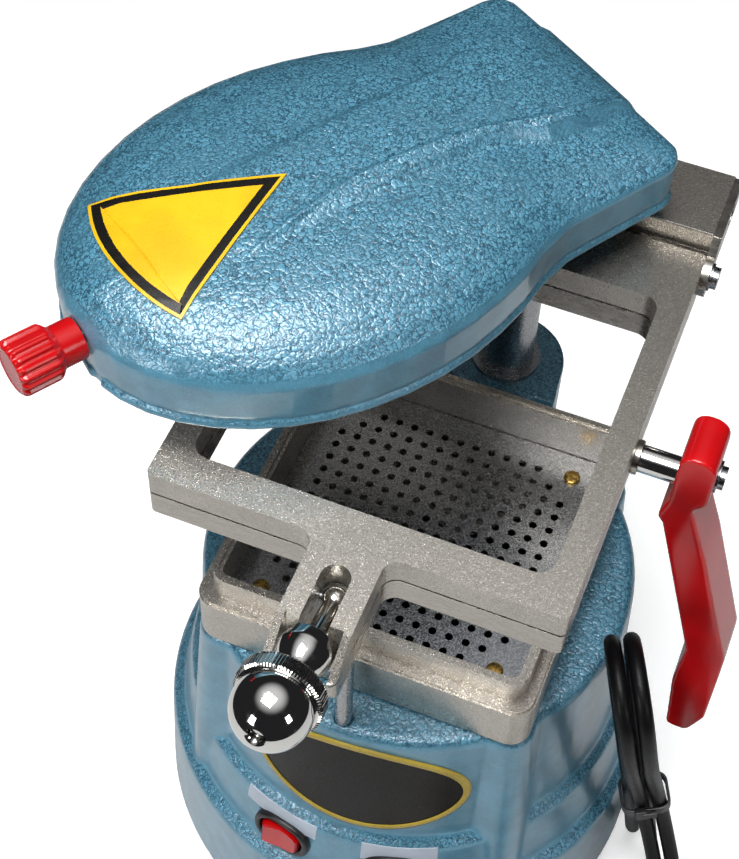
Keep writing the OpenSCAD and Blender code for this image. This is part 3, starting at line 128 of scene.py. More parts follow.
def darker(value, by):
    return tuple(c * by for c in value)


def bare_tree(owner):
    """The emptied node tree of a material or world."""
    owner.use_nodes = True
    owner.node_tree.nodes.clear()
    return owner.node_tree


def start(name, **sockets):
    """A new material with its shader, and the object coordinates in metres."""
    mat = bpy.data.materials.new(name)
    tree = bare_tree(mat)
    shader = add(tree, "ShaderNodeBsdfPrincipled",
                 {key.replace("_", " "): value for key, value in sockets.items()})
    add(tree, "ShaderNodeOutputMaterial", {"Surface": shader.outputs["BSDF"]})
    place = add(tree, "ShaderNodeTexCoord")
    return mat, tree, shader, place


def blend_of(tree, factor, a, b):
    """Mixes two colours by a factor; a colour is a socket, or three or four numbers."""
    a, b = (rgba(x) if isinstance(x, tuple) and len(x) == 3 else x for x in (a, b))
    return add(tree, "ShaderNodeMix", {"Factor": factor, "A": a, "B": b},
               data_type="RGBA").outputs["Result"]


def span(tree, value, low, high, to_low=0.0, to_high=1.0):
    return add(tree, "ShaderNodeMapRange",
               {"Value": value, "From Min": low, "From Max": high,
                "To Min": to_low, "To Max": to_high},
               interpolation_type="SMOOTHSTEP").outputs["Result"]


def product(tree, a, b, operation="MULTIPLY"):
    return add(tree, "ShaderNodeMath", {0: a, 1: b}, operation=operation).outputs[0]


def noise(tree, place, scale, detail=2.0, **inputs):
    return add(tree, "ShaderNodeTexNoise",
               {"Vector": place, "Scale": scale, "Detail": detail, **inputs}).outputs["Fac"]


def dressed(tree, shader, tone, height, strength, depth, rough=None):
    """Links the colour, the relief and, where it varies, the roughness; returns the relief."""
    bump = add(tree, "ShaderNodeBump", {"Strength": strength, "Distance": depth * MM,
                                        "Height": height}).outputs[0]
    tree.links.new(bump, shader.inputs["Normal"])
    if tone is not None:
        tree.links.new(tone, shader.inputs["Base Color"])
    if rough is not None:
        tree.links.new(rough, shader.inputs["Roughness"])
    return bump


def hammered_enamel():
    """Hammered enamel, sprayed over an aluminium casting and stoved: it draws up into cells
    about 2 mm wide on level faces, their creases darkened as painted shade, and runs smooth
    on upright ones."""
    c = colours()
    mat, tree, shader, place = start("Hammered enamel", Metallic=0.15, Roughness=0.34, IOR=1.5,
                                     Coat_Weight=0.9, Coat_Roughness=0.2, Coat_IOR=1.5)
    at = place.outputs["Object"]
    cell = sizes().cell
    wander = add(tree, "ShaderNodeTexNoise", {"Vector": at, "Scale": 0.7 / cell, "Detail": 4.0})
    pulled = add(tree, "ShaderNodeVectorMath",
                 {0: wander.outputs["Color"], 1: (2.8 * cell,) * 3}, operation="MULTIPLY")
    moved = add(tree, "ShaderNodeVectorMath", {0: at, 1: pulled.outputs[0]},
                operation="ADD").outputs[0]
    cells, edges = (add(tree, "ShaderNodeTexVoronoi", {"Vector": moved, "Scale": 1 / cell},
                        feature=kind) for kind in ("F1", "DISTANCE_TO_EDGE"))
    up = add(tree, "ShaderNodeSeparateXYZ", {0: place.outputs["Normal"]}).outputs["Z"]
    level = span(tree, up, 0.3, 0.8, 0.06, 1.0)
    # Painted shade mask: 1 on the cell borders, where shade falls in the creases
    painted_crease_shade = span(tree, edges.outputs["Distance"], 0.0, 0.17, 1.0, 0.0)
    patch = noise(tree, at, 110, 3.0)
    grit = noise(tree, at, 1700, 2.0)
    shade = blend_of(tree, span(tree, patch, 0.3, 0.7), darker(c.enamel, 0.82),
                     darker(c.enamel, 1.12))
    speck = blend_of(tree, span(tree, grit, 0.4, 0.72, 0.0, 0.4), shade,
                     darker(c.enamel, 1.65))
    # The painted crease shade fades in patches and lies only on level faces, where the crease colour is
    # mixed in
    thin = product(tree, painted_crease_shade, span(tree, patch, 0.25, 0.55, 0.5, 1.0))
    shaded_creases = blend_of(tree, product(tree, thin, level), speck, darker(c.painted_crease_shade, 1.0))
    round_off = product(tree, cells.outputs["Distance"], 1.8, "POWER")
    dome = product(tree, product(tree, 1.0, round_off, "SUBTRACT"), level)
    height = product(tree, dome, product(tree, grit, 0.1), "ADD")
    relief = dressed(tree, shader, shaded_creases, height, 1.0, 0.26,
                     span(tree, grit, 0.3, 0.7, 0.28, 0.44))
    tree.links.new(relief, shader.inputs["Coat Normal"])
    return mat


def blasted_nickel():
    """Nickel plate over a blasted casting: level faces show fine grains, a few lit as painted
    glints in the colour, and the upright ones, milled before plating, stay smooth and bright."""
    c = colours()
    mat, tree, shader, place = start("Blasted nickel plate", Metallic=1.0, Roughness=0.34)
    at = place.outputs["Object"]
    sand_at = add(tree, "ShaderNodeTexVoronoi", {"Vector": at, "Scale": 1 / sizes().grain})
    grain = add(tree, "ShaderNodeSeparateColor", {0: sand_at.outputs["Color"]}).outputs[0]
    cloud = noise(tree, at, 40, 2.0)
    up = add(tree, "ShaderNodeSeparateXYZ", {0: place.outputs["Normal"]}).outputs["Z"]
    level = span(tree, product(tree, up, 0.0, "MAXIMUM"), 0.55, 0.9, 0.2, 1.0)
    ground = blend_of(tree, span(tree, cloud, 0.3, 0.7), darker(c.nickel, 0.95),
                      darker(c.nickel, 1.15))
    sand = blend_of(tree, grain, darker(c.nickel, 0.6), darker(c.nickel, 1.35))
    # Painted glints: the rarest grains are lifted to over twice the nickel's brightness in the colour,
    # standing in for lamps caught in the grit
    spark = blend_of(tree, span(tree, grain, 0.84, 0.93), sand, darker(c.nickel, 2.2))
    dressed(tree, shader, blend_of(tree, level, ground, spark), product(tree, grain, level),
            0.4, 0.08, span(tree, grain, 0.1, 0.9, 0.42, 0.26))
    return mat


def satin_nickel():
    """Nickel plate over milled faces: smooth satin with faint cutter streaks."""
    c = colours()
    mat, tree, shader, place = start("Satin nickel plate", Metallic=1.0, Roughness=0.24)
    at = place.outputs["Object"]
    drawn = add(tree, "ShaderNodeMapping", {"Vector": at, "Scale": (1.0, 1.0, 4.0)})
    streak = noise(tree, drawn.outputs[0], 170, 4.0)
    fine = noise(tree, at, 1400, 2.0)
    tone = blend_of(tree, span(tree, streak, 0.3, 0.7), darker(c.nickel, 0.9),
                    darker(c.nickel, 1.02))
    dressed(tree, shader, tone, fine, 0.25, 0.05, span(tree, streak, 0.3, 0.7, 0.25, 0.3))
    return mat


def bright_chrome():
    """Chrome plate on polished steel: a mirror with a few faint rub marks."""
    mat, tree, shader, place = start("Bright chrome plate", Metallic=1.0, Roughness=0.06,
                                     Base_Color=rgba(colours().chrome))
    at = place.outputs["Object"]
    rub = noise(tree, at, 260, 5.0, Distortion=1.5)
    dressed(tree, shader, None, noise(tree, at, 35, 1.0), 0.08, 0.2,
            span(tree, rub, 0.4, 0.75, 0.035, 0.14))
    return mat


def rolled_steel():
    """Stainless sheet as rolled, browned a little by heat and darkened further as painted shade
    for the head's shadow on the plate: cloudy, with long fine lines.
    """
    c = colours()
    mat, tree, shader, place = start("Rolled stainless steel", Metallic=1.0, Roughness=0.32)
    at = place.outputs["Object"]
    drawn = add(tree, "ShaderNodeMapping", {"Vector": at, "Scale": (1.0, 8.0, 1.0)})
    line = noise(tree, drawn.outputs[0], 40, 1.0)
    cloud = noise(tree, at, 28, 3.0)
    warm = blend_of(tree, span(tree, cloud, 0.35, 0.7), darker(c.steel, 0.94),
                    darker(c.steel, 1.06))
    tone = blend_of(tree, span(tree, line, 0.35, 0.7, 0.0, 0.08), warm, darker(c.steel, 1.3))
    dressed(tree, shader, tone, line, 0.05, 0.02, span(tree, cloud, 0.3, 0.7, 0.26, 0.34))
    return mat


def plain_metal(name, base, rough, grain, tint=0.75):
    """A turned or plated metal with a fine grain of the given size in metres."""
    mat, tree, shader, place = start(name, Metallic=1.0, Roughness=rough)
    marks = noise(tree, place.outputs["Object"], 1 / grain, 3.0)
    tone = blend_of(tree, span(tree, marks, 0.3, 0.7), darker(base, tint), darker(base, 1.0))
    dressed(tree, shader, tone, marks, 0.2, 0.05,
            span(tree, marks, 0.3, 0.7, rough * 0.8, rough * 1.25))
    return mat


def moulded(name, base, rough, grain, relief, coat=0.0, ior=1.5, **more):
    """A moulded plastic, rubber or film: slight flow clouds and a skin of the given grain."""
    mat, tree, shader, place = start(name, Metallic=0.0, Roughness=rough, IOR=ior,
                                     Coat_Weight=coat, Coat_Roughness=0.06, **more)
    at = place.outputs["Object"]
    flow = noise(tree, at, 55, 3.0)
    skin = noise(tree, at, 1 / grain, 2.0)
    tone = blend_of(tree, span(tree, flow, 0.3, 0.7), darker(base, 0.86), darker(base, 1.06))
    dressed(tree, shader, tone, skin, relief, 0.06,
            span(tree, skin, 0.3, 0.7, rough * 0.85, rough * 1.2))
    return mat


RECIPES = {
    "enamel": hammered_enamel,
    "blasted": blasted_nickel,
    "satin": satin_nickel,
    "chrome": bright_chrome,
    "steel": rolled_steel,
    # Zinc-plated steel, turned: cool grey with fine tool marks
    "zinc": lambda: plain_metal("Zinc plated steel", linear("#A9ABAE"), 0.26, 0.6 * MM),
    # Yellow passivated steel: brassy with duller patches
    "brass": lambda: plain_metal("Yellow passivated steel", colours().brass, 0.27, 0.9 * MM, 0.6),
    # Cast bronze bush, bored and turned
    "bronze": lambda: plain_metal("Turned bronze", linear("#8E6A41"), 0.35, 0.5 * MM),
    # Grey iron as cast, with a coarse skin
    "iron": lambda: plain_metal("Cast iron", linear("#6F7072"), 0.48, 1.2 * MM, 0.7),
    # Painted motor shell, semi-gloss
    "motor": lambda: moulded("Stoved grey paint", linear("#5C6066"), 0.4, 0.7 * MM, 0.3),
    # Sheathed element, oxidised brown by heat
    "element": lambda: plain_metal("Oxidised sheath steel", linear("#5A4E46"), 0.5, 0.8 * MM, 0.6),
    # ABS, injection moulded and glossy: red to the core
    "red": lambda: moulded("Red ABS", colours().red, 0.17, 0.5 * MM, 0.03),
    # Clear-red polycarbonate rockers, polished
    "rocker": lambda: moulded("Red polycarbonate", colours().rocker, 0.12, 2 * MM, 0.05, coat=0.2,
                              ior=1.58),
    # Nylon mouldings with a fine spark-eroded texture
    "black": lambda: moulded("Black nylon", colours().black, 0.34, 0.35 * MM, 0.35),
    # Screen-printed plate under clear lacquer
    "plate": lambda: moulded("Black lacquered plate", linear("#12100D"), 0.3, 0.5 * MM, 0.03,
                             Specular_IOR_Level=0.12),
    # Gold-toned printed rim under the same lacquer
    "gold": lambda: moulded("Gold lacquer", colours().gold, 0.3, 0.5 * MM, 0.05),
    # Soft PVC sheath of the lead, extruded
    "pvc": lambda: moulded("Black PVC", linear("#08080A"), 0.4, 0.8 * MM, 0.1,
                           Specular_IOR_Level=0.15),
    # Moulded nitrile feet and gaskets
    "rubber": lambda: moulded("Black nitrile rubber", linear("#1C1C1D"), 0.62, 0.5 * MM, 0.5),
    # Glazed porcelain-white plastic
    "white": lambda: moulded("White nylon", linear("#D9D7D0"), 0.4, 0.6 * MM, 0.3),
    # Vinyl film, printed yellow
    "yellow": lambda: moulded("Yellow vinyl film", colours().yellow, 0.3, 0.9 * MM, 0.15),
    "ink": lambda: moulded("Black printed vinyl", linear("#161513"), 0.3, 0.9 * MM, 0.15,
                           Specular_IOR_Level=0.3),
    # Coated paper labels
    "paper": lambda: moulded("Coated paper", colours().paper, 0.42, 0.5 * MM, 0.2),
}


def finish_of(name):
    """The named finish, made the first time it is asked for."""
    key = "made_" + name
    if bpy.context.scene.get(key) is None:
        bpy.context.scene[key] = RECIPES[name]()
    return bpy.context.scene[key]


# ---------------------------------------------------------------- modelling

def only(*objects):
    """Leaves object mode with these objects selected and the last one active."""
    if bpy.context.object and bpy.context.object.mode != "OBJECT":
        bpy.ops.object.mode_set(mode="OBJECT")
    bpy.ops.object.select_all(action="DESELECT")
    for o in objects:
        o.select_set(True)
    bpy.context.view_layer.objects.active = objects[-1]


def placed(name, data):
    o = bpy.data.objects.new(name, data)
    bpy.context.scene.collection.objects.link(o)
    return o


def mesh_object(name, points, edges=(), faces=()):
    mesh = bpy.data.meshes.new(name)
    mesh.from_pydata([tuple(c * MM for c in p) for p in points], edges, faces)
    return placed(name, mesh)


def bands(count, n, closed=True):
    """Quads between neighbouring loops of n points; closed also joins the last to the first."""
    return [(k * n + i, k * n + (i + 1) % n, m * n + (i + 1) % n, m * n + i)
            for k in range(count if closed else count - 1)
            for m in ((k + 1) % count,) for i in range(n)]


def tube(name, points, radius, resolution):
    """A round tube along the points, given in metres, with closed ends, still a curve."""
    curve = bpy.data.curves.new(name, "CURVE")
    curve.dimensions = "3D"
    curve.bevel_depth = radius
    curve.bevel_resolution = resolution
    curve.use_fill_caps = True
    line = curve.splines.new("POLY")
    line.points.add(len(points) - 1)
    for spot, p in zip(line.points, points):
        spot.co = (*p, 1)
    return placed(name, curve)


def modified(o, kind, **settings):
    """Applies one modifier to the piece."""
    only(o)
    m = o.modifiers.new(kind.title(), kind)
    for key, value in settings.items():
        setattr(m, key, value)
    bpy.ops.object.modifier_apply(modifier=m.name)


def softened(o, width, segments=2, angle=30):
    """Rounds the piece's sharp edges."""
    modified(o, "BEVEL", width=width, segments=segments, limit_method="ANGLE",
             angle_limit=math.radians(angle), use_clamp_overlap=True)


def clean(o, gap=1e-6, flat=0.0):
    """Merges doubles, joins flat neighbours and turns all faces out."""
    only(o)
    bpy.ops.object.mode_set(mode="EDIT")
    bpy.ops.mesh.select_all(action="SELECT")
    bpy.ops.mesh.remove_doubles(threshold=gap)
    if flat:
        bpy.ops.mesh.dissolve_limited(angle_limit=math.radians(flat))
    bpy.ops.mesh.select_all(action="SELECT")
    bpy.ops.mesh.normals_make_consistent(inside=False)
    bpy.ops.object.mode_set(mode="OBJECT")


def remeshed(o, grid, rounds):
    """Lays the piece on a voxel grid and smooths it, which rounds every edge."""
    only(o)
    o.data.remesh_voxel_size = grid
    bpy.ops.object.voxel_remesh()
    modified(o, "SMOOTH", factor=0.5, iterations=rounds)


def copy_of(node, name, flat=1.0):
    """A merged copy of a CAD node's mesh, to be worked further."""
    mesh = frame["nodes"][node].data.copy()
    mesh.name = name
    o = placed(name, mesh)
    only(o)
    bpy.ops.mesh.customdata_custom_splitnormals_clear()
    clean(o, flat=flat)
    return o


def lathe(name, profile, steps=48, place=None):
    """Spins a profile of (radius, height) in mm about Z and closes its poles."""
    o = mesh_object(name, [(r, 0, z) for r, z in profile],
                    edges=[(i, i + 1) for i in range(len(profile) - 1)])
    only(o)
    bpy.ops.object.mode_set(mode="EDIT")
    bpy.ops.mesh.select_all(action="SELECT")
    bpy.ops.mesh.spin(steps=steps, angle=2 * math.pi, center=(0, 0, 0), axis=(0, 0, 1))
    bpy.ops.object.mode_set(mode="OBJECT")
    clean(o, gap=2e-5)
    if place is not None:
        o.data.transform(place)
    return o


def finished(o, finish, body, *nodes, slot=None, smooth=35):
    """Shades the piece, gives it its finish, and lets it ride and stand for its nodes."""
    only(o)
    bpy.ops.object.transform_apply(location=True, rotation=True, scale=True)
    if smooth:
        bpy.ops.object.shade_smooth_by_angle(angle=math.radians(smooth))
        modified(o, "WEIGHTED_NORMAL", keep_sharp=True, weight=50)
    if finish:
        o.data.materials.clear()
        o.data.materials.append(finish_of(finish))
    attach(o, body)
    if nodes:
        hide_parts(*nodes)
    return o


def part_of(o, other, operation="DIFFERENCE"):
    """Cuts the other object out of the piece, or joins it, and removes the other."""
    modified(o, "BOOLEAN", object=other, operation=operation, solver="EXACT")
    bpy.data.objects.remove(other)


def frame_at(point, axis, side=(0, 0, 1)):
    """Matrix whose origin is the point in mm and whose Z is the axis."""
    z = Vector(axis).normalized()
    x = Vector(side).cross(z)
    x = x.normalized() if x.length > 1e-3 else Vector((1, 0, 0))
    y = z.cross(x)
    m = Matrix((x, y, z)).transposed().to_4x4()
    m.translation = Vector(point) * MM
    return m


def recessed(o, spots, reach, depth, width=0.9):
    """Cuts a cross recess into screw heads; each spot is the head's top and its axis out."""
    points, faces = [], []
    for point, axis, turn in spots:
        m = frame_at(point, axis) @ Matrix.Rotation(math.radians(turn), 4, "Z")
        for a, b in ((reach, width / 2), (width / 2, reach)):
            k = len(points)
            b2 = (a * 0.45, b) if a > b else (a, b * 0.45)
            for x, y, z in [(a, b, 1.0), (-a, b, 1.0), (-a, -b, 1.0), (a, -b, 1.0),
                            (b2[0], b2[1], -depth), (-b2[0], b2[1], -depth),
                            (-b2[0], -b2[1], -depth), (b2[0], -b2[1], -depth)]:
                points.append(tuple((m @ (Vector((x, y, z)) * MM)) / MM))
            faces += [tuple(k + i for i in f) for f in
                      ((0, 1, 2, 3), (7, 6, 5, 4), (4, 5, 1, 0), (5, 6, 2, 1), (6, 7, 3, 2),
                       (7, 4, 0, 3))]
    cutter = mesh_object("Recess cutter", points, faces=faces)
    clean(cutter)
    modified(o, "BOOLEAN", object=cutter, operation="DIFFERENCE", solver="EXACT",
             use_self=True)
    bpy.data.objects.remove(cutter)


# ---------------------------------------------------------------- places, in mm

HEAD_TURN = math.radians(-123)


def in_head(u, v, z):
    """Point of the head's own plan, u along its spine and v across, at the closed pose."""
    c, s = math.cos(HEAD_TURN), math.sin(HEAD_TURN)
    return Vector((u * c - v * s, 100 + u * s + v * c, z))


BOLT_PIN = (0, -88, 257)
BOLT_TILT = math.radians(16)
BOLT = frame_at(BOLT_PIN, (0, -math.cos(BOLT_TILT), math.sin(BOLT_TILT)), side=(1, 0, 0))

# The switches: round the wall in degrees, and the second tier's radius and lean at their height
SWITCH_ANGLES = (-11.8, 17.0)
SWITCH_Z, TIER_RADIUS, TIER_LEAN = 72.5, 92.07, 7.59
# Points round each of the switches' ovals
OVAL_N = 48


def on_wall(angle):
    """Frame on the body's second tier: X along the wall, Y up it and Z out of it."""
    return (Matrix.Rotation(math.radians(angle), 4, "Z")
            @ Matrix.Translation((0, -TIER_RADIUS * MM, SWITCH_Z * MM))
            @ Matrix.Rotation(math.radians(90 - TIER_LEAN), 4, "X"))


RELIEF_WAY = Vector((math.cos(math.radians(112)), math.sin(math.radians(112)), 0))
RELIEF_BASE, RELIEF_LENGTH, RELIEF_Z = 101.4, 26.0, 16.0
CORD_D = 6.0
HANK_TURN, HANK_LEAN = math.radians(25), math.radians(11)
HANK_E1 = Vector((math.sin(HANK_TURN), -math.cos(HANK_TURN), 0))
HANK_E2 = Vector((-math.cos(HANK_TURN) * math.sin(HANK_LEAN),
                  -math.sin(HANK_TURN) * math.sin(HANK_LEAN), math.cos(HANK_LEAN)))
HANK_E3 = HANK_E2.cross(HANK_E1)
HANK_MID = Vector((110, -35, 103.3))
HANK_BEND, HANK_HALF, HANK_WAIST, HANK_PITCH, HANK_N = 18.0, 84.0, 3.6, 6.9, 12
PLUG_AT = Vector((119.6, -110.3, 14))
PLUG_WAY = Vector((-0.94, -0.34, 0)).normalized()

LEAD_POINTS = [
    (-52.3, 136, 14.9), (-49.3, 148, 12), (-41.5, 158, 8.4), (-30.5, 163.8, 5.2),
    (-18, 164.7, 3.5), (-6, 160.3, 3.2), (4.5, 150.5, 3.2), (14, 140.2, 3.2), (23.5, 130, 3.2),
    (33, 119.8, 3.2), (42.5, 109.6, 3.2), (52, 99.4, 3.2), (61.5, 89.2, 3.2), (71, 79, 3.2),
    (80, 68.8, 3.2), (88, 58, 3.2), (95, 46.5, 3.2), (100.8, 34, 3.2), (104.4, 24.5, 3.2),
    (107, 14.5, 3.3), (108.6, 5, 5.2), (109, -3, 10.2), (108.9, -8.9, 17.8), (108.4, -11.9, 25),
]
END_POINTS = [
    (140.6, -46, 23.3), (144.5, -50.5, 13), (148.5, -59, 5.8), (151.5, -70, 3.2),
    (151.5, -81, 4.2), (148, -91.5, 6.9), (141, -100.4, 10.6), (131.8, -105.7, 13.4),
]


def hank_point(a, b, c):
    return HANK_MID + a * HANK_E1 + b * HANK_E2 + c * HANK_E3


def hank_off(s):
    k = min(1, abs(s) / (HANK_HALF * 0.9))
    return HANK_WAIST + (HANK_BEND - HANK_WAIST) * (1 - math.cos(math.pi * k)) / 2


def hank_way():
    """Far run up, bend, near run down and bend, for each of the hank's two loops."""
    way = []
    for loop in range(2):
        last = loop == 1
        low = (loop - 1) * HANK_PITCH
        for i in range(2 if loop == 0 else 0, HANK_N):
            s = -HANK_HALF + 2 * HANK_HALF * i / HANK_N
            way.append(hank_point(-hank_off(s), s, low))
        for k in range(8):
            a = math.radians(22.5 * k)
            way.append(hank_point(-HANK_BEND * math.cos(a), HANK_HALF + HANK_BEND * math.sin(a),
                                  low))
        for i in range(HANK_N - 1 if last else HANK_N):
            s = HANK_HALF - 2 * HANK_HALF * i / HANK_N
            lift = (1 - math.cos(math.pi * i / HANK_N)) / 2
            way.append(hank_point(hank_off(s), s, low + lift * HANK_PITCH))
        if not last:
            for k in range(8):
                a = math.radians(22.5 * k)
                way.append(hank_point(HANK_BEND * math.cos(a),
                                      -HANK_HALF - HANK_BEND * math.sin(a), low + HANK_PITCH))
    return way


def way_at(p, i):
    """Direction of the curve at a point, nearer to that of the shorter step."""
    m = len(p) - 1
    a = p[max(i, 1)] - p[max(i, 1) - 1]
    b = p[min(i, m - 1) + 1] - p[min(i, m - 1)]
    return (a.normalized() * b.length + b.normalized() * a.length) / (a.length + b.length)


def smooth_way(p, n):
    """Smooth curve through the points, with n steps between two of them."""
    out = []
    for i in range(len(p) - 1):
        for k in range(n):
            t = k / n
            h = t * t * (3 - 2 * t)
            out.append((1 - h) * p[i] + h * p[i + 1] + t * (1 - t) * (p[i + 1] - p[i]).length
                       * ((1 - t) * way_at(p, i) - t * way_at(p, i + 1)))
    return out + [p[-1]]


def cord_way():
    """The lead's whole way in mm: out of the relief, round the foot, through the hank, to
    the plug."""
    hank = hank_way()
    into = (hank[1] - hank[0]).normalized()
    away = (hank[-1] - hank[-2]).normalized()
    route = [hank[0] - into * CORD_D] + hank + [hank[-1] + away * CORD_D]
    tip = RELIEF_WAY * (RELIEF_BASE + RELIEF_LENGTH) + Vector((0, 0, RELIEF_Z))
    run = [tip, tip + RELIEF_WAY * 3, tip + RELIEF_WAY * 6]
    run += [Vector(p) for p in LEAD_POINTS]
    run += [route[0] - into * 12, route[0] - into * 6, route[0]]
    end = [route[-1], route[-1] + away * 6, route[-1] + away * 12]
    end += [Vector(p) for p in END_POINTS]
    end += [PLUG_AT - PLUG_WAY * 6, PLUG_AT - PLUG_WAY * 3, PLUG_AT]
    return smooth_way(run, 4)[:-1] + smooth_way(route, 3)[:-1] + smooth_way(end, 4)


# ---------------------------------------------------------------- operators

# The view: azimuth, height and roll in degrees, the aimed point and the distance in mm, and
# the focal length over the picture's width
VIEW_TURN, VIEW_LIFT, VIEW_ROLL = 19.57, 53.5, 2.59
VIEW_AIM, VIEW_FAR = Vector((-11.12, -31.89, 270)), 570.5
VIEW_FOCAL = 1773.4 / 739
SENSOR_WIDTH = 36


class MACHINE_OT_camera(bpy.types.Operator):
    """Sets the camera at the viewing angle of a bench photograph from above"""
    bl_idname = "machine.camera"
    bl_label = "Camera"

    def execute(self, context):
        turn, lift, roll = (math.radians(a) for a in (VIEW_TURN, VIEW_LIFT, VIEW_ROLL))
        back = Vector((math.sin(turn) * math.cos(lift), -math.cos(turn) * math.cos(lift),
                       math.sin(lift)))
        right = Vector((math.cos(turn), math.sin(turn), 0))
        up = back.cross(right)
        right, up = (math.cos(roll) * right + math.sin(roll) * up,
                     -math.sin(roll) * right + math.cos(roll) * up)
        at = VIEW_AIM + back * VIEW_FAR
        bpy.ops.object.camera_add()
        camera = context.object
        camera.name = "Camera"
        camera.data.sensor_fit = "HORIZONTAL"
        camera.data.sensor_width = SENSOR_WIDTH
        camera.data.lens = VIEW_FOCAL * SENSOR_WIDTH
        camera.data.clip_start = 0.01
        camera.data.clip_end = 50
        place = Matrix((right, up, back)).transposed().to_4x4()
        place.translation = at * MM
        camera.matrix_world = place
        context.scene.camera = camera
        return {"FINISHED"}


class MACHINE_OT_lead(bpy.types.Operator):
    """Lays the mains lead with its strain relief, its tied hank and its plug"""
    bl_idname = "machine.lead"
    bl_label = "Mains lead"

    def execute(self, context):
        way = cord_way()
        lead = tube("Mains_lead", [p * MM for p in way], sizes().cord_radius, 4)
        lead.data.splines[0].use_smooth = True
        lead.data.materials.append(finish_of("pvc"))
        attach(lead, "base")
        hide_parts("lead_run", "lead_hank", "lead_end")
        tie = self.tie()
        plug = self.plug()
        self.relief()
        return {"FINISHED"}

    def relief(self):
        """Moulded strain relief: a taper with ribs that let it bend."""
        profile = [(0, -8), (7.5, -8), (7.5, -5.6), (5.9, -5.6), (5.9, 0.8), (7.2, 0.8),
                   (7.5, 1.2), (7.2, 3.0)]
        for k in range(6):
            z = 4.2 + 3.4 * k
            r = 6.7 - 0.5 * k
            profile += [(r, z), (r - 0.9, z + 0.5), (r - 1.0, z + 1.5), (r - 0.35, z + 2.0),
                        (r - 0.3, z + 2.9)]
        profile += [(3.9, 25.6), (3.5, 26.0), (3.05, 26.0), (0, 25.8)]
        base = RELIEF_WAY * RELIEF_BASE + Vector((0, 0, RELIEF_Z))
        o = lathe("Strain_relief_boot", profile, 40, frame_at(base, RELIEF_WAY))
        finished(o, "black", "base", "strain_relief", slot="black_plastic", smooth=50)

    def tie(self):
        """Band of the tie round the drawn-in runs, with its ratchet head and cut tail."""
        w = 2 * HANK_WAIST + CORD_D + 0.4
        d = 1.5 * HANK_PITCH + CORD_D + 0.4

        def outline(wide, deep, r):
            pts = []
            for k, (sx, sy) in enumerate(((1, 1), (-1, 1), (-1, -1), (1, -1))):
                for i in range(7):
                    a = math.radians(90 * k + 15 * i)
                    pts.append((sx * (wide / 2 - r) + r * math.cos(a),
                                sy * (deep / 2 - r) + r * math.sin(a)))
            return pts
        inner, outer = outline(w, d, 3.2), outline(w + 2.2, d + 2.2, 4.3)
        n = len(inner)
        points = [(x, y - 0.25 * HANK_PITCH, z) for z in (-2.3, 2.3)
                  for x, y in inner + outer]
        faces = []
        for i in range(n):
            j = (i + 1) % n
            faces += [(i, j, n + j, n + i), (2 * n + i, 3 * n + i, 3 * n + j, 2 * n + j),
                      (n + i, n + j, 3 * n + j, 3 * n + i), (i, 2 * n + i, 2 * n + j, j)]
        o = mesh_object("Hank_tie_band", points, faces=faces)
        clean(o)
        softened(o, 0.35 * MM, 2)
        only(o)
        for where, scale in (((w / 2 + 1.2, -0.25 * HANK_PITCH - 2.5, 0), (2.6, 4.4, 6.2)),
                             ((w / 2 + 2.4, -0.25 * HANK_PITCH + 0.6, 0), (1.0, 5.6, 3.4))):
            bpy.ops.mesh.primitive_cube_add(size=MM, location=[c * MM for c in where],
                                            scale=scale)
            head = bpy.context.object
            softened(head, 0.4 * MM, 2)
            only(head)
            bpy.ops.object.transform_apply(location=True, rotation=True, scale=True)
            part_of(o, head, "UNION")
        m = Matrix((HANK_E1, HANK_E3, HANK_E2)).transposed().to_4x4()
        m.translation = HANK_MID * MM
        o.data.transform(m)
        return finished(o, "black", "base", "hank_tie", slot="black_plastic")

    def plug(self):
        """Moulded mains plug with grip rings and two round pins."""
        base = frame_at(PLUG_AT, PLUG_WAY)
        profile = [(0, 0), (3.6, 0), (4.2, 0.5), (4.6, 4), (3.9, 4.6), (3.9, 5.6), (5.0, 6.2),
                   (5.3, 9), (4.5, 9.6), (4.5, 10.6), (5.8, 11.2), (6.4, 14), (8.6, 18.5),
                   (11.2, 22.4), (12.6, 25)]
        profile += [(13.3, 27), (13.7, 29), (13.2, 30), (13.2, 31), (13.9, 32), (13.2, 33),
                    (13.2, 34), (13.9, 35), (13.2, 36), (13.2, 37), (13.9, 38), (14, 41),
                    (13.6, 43.2), (12.6, 44), (0, 44)]
        o = lathe("Mains_plug_body", profile, 56, base)
        pins = []
        for side in (-7, 7):
            pin = lathe("Plug_pin", [(0, 43), (2.35, 43), (2.4, 60.5), (2.1, 61.8), (1.2, 62.8),
                                     (0, 63)], 24,
                        base @ Matrix.Translation((0, side * MM, 0)))
            pins.append(pin)
        only(pins[0], pins[1])
        bpy.ops.object.join()
        finished(pins[1], "brass", "base", slot="brass")
        pins[1].name = "Mains_plug_pins"
        return finished(o, "black", "base", "mains_plug", slot="black_plastic", smooth=60)


# Radius of the white sheet, and of the dark tent and its middle's height, in metres
FLOOR_RADIUS = 0.62
TENT_RADIUS, TENT_Z = 2.6, 0.3


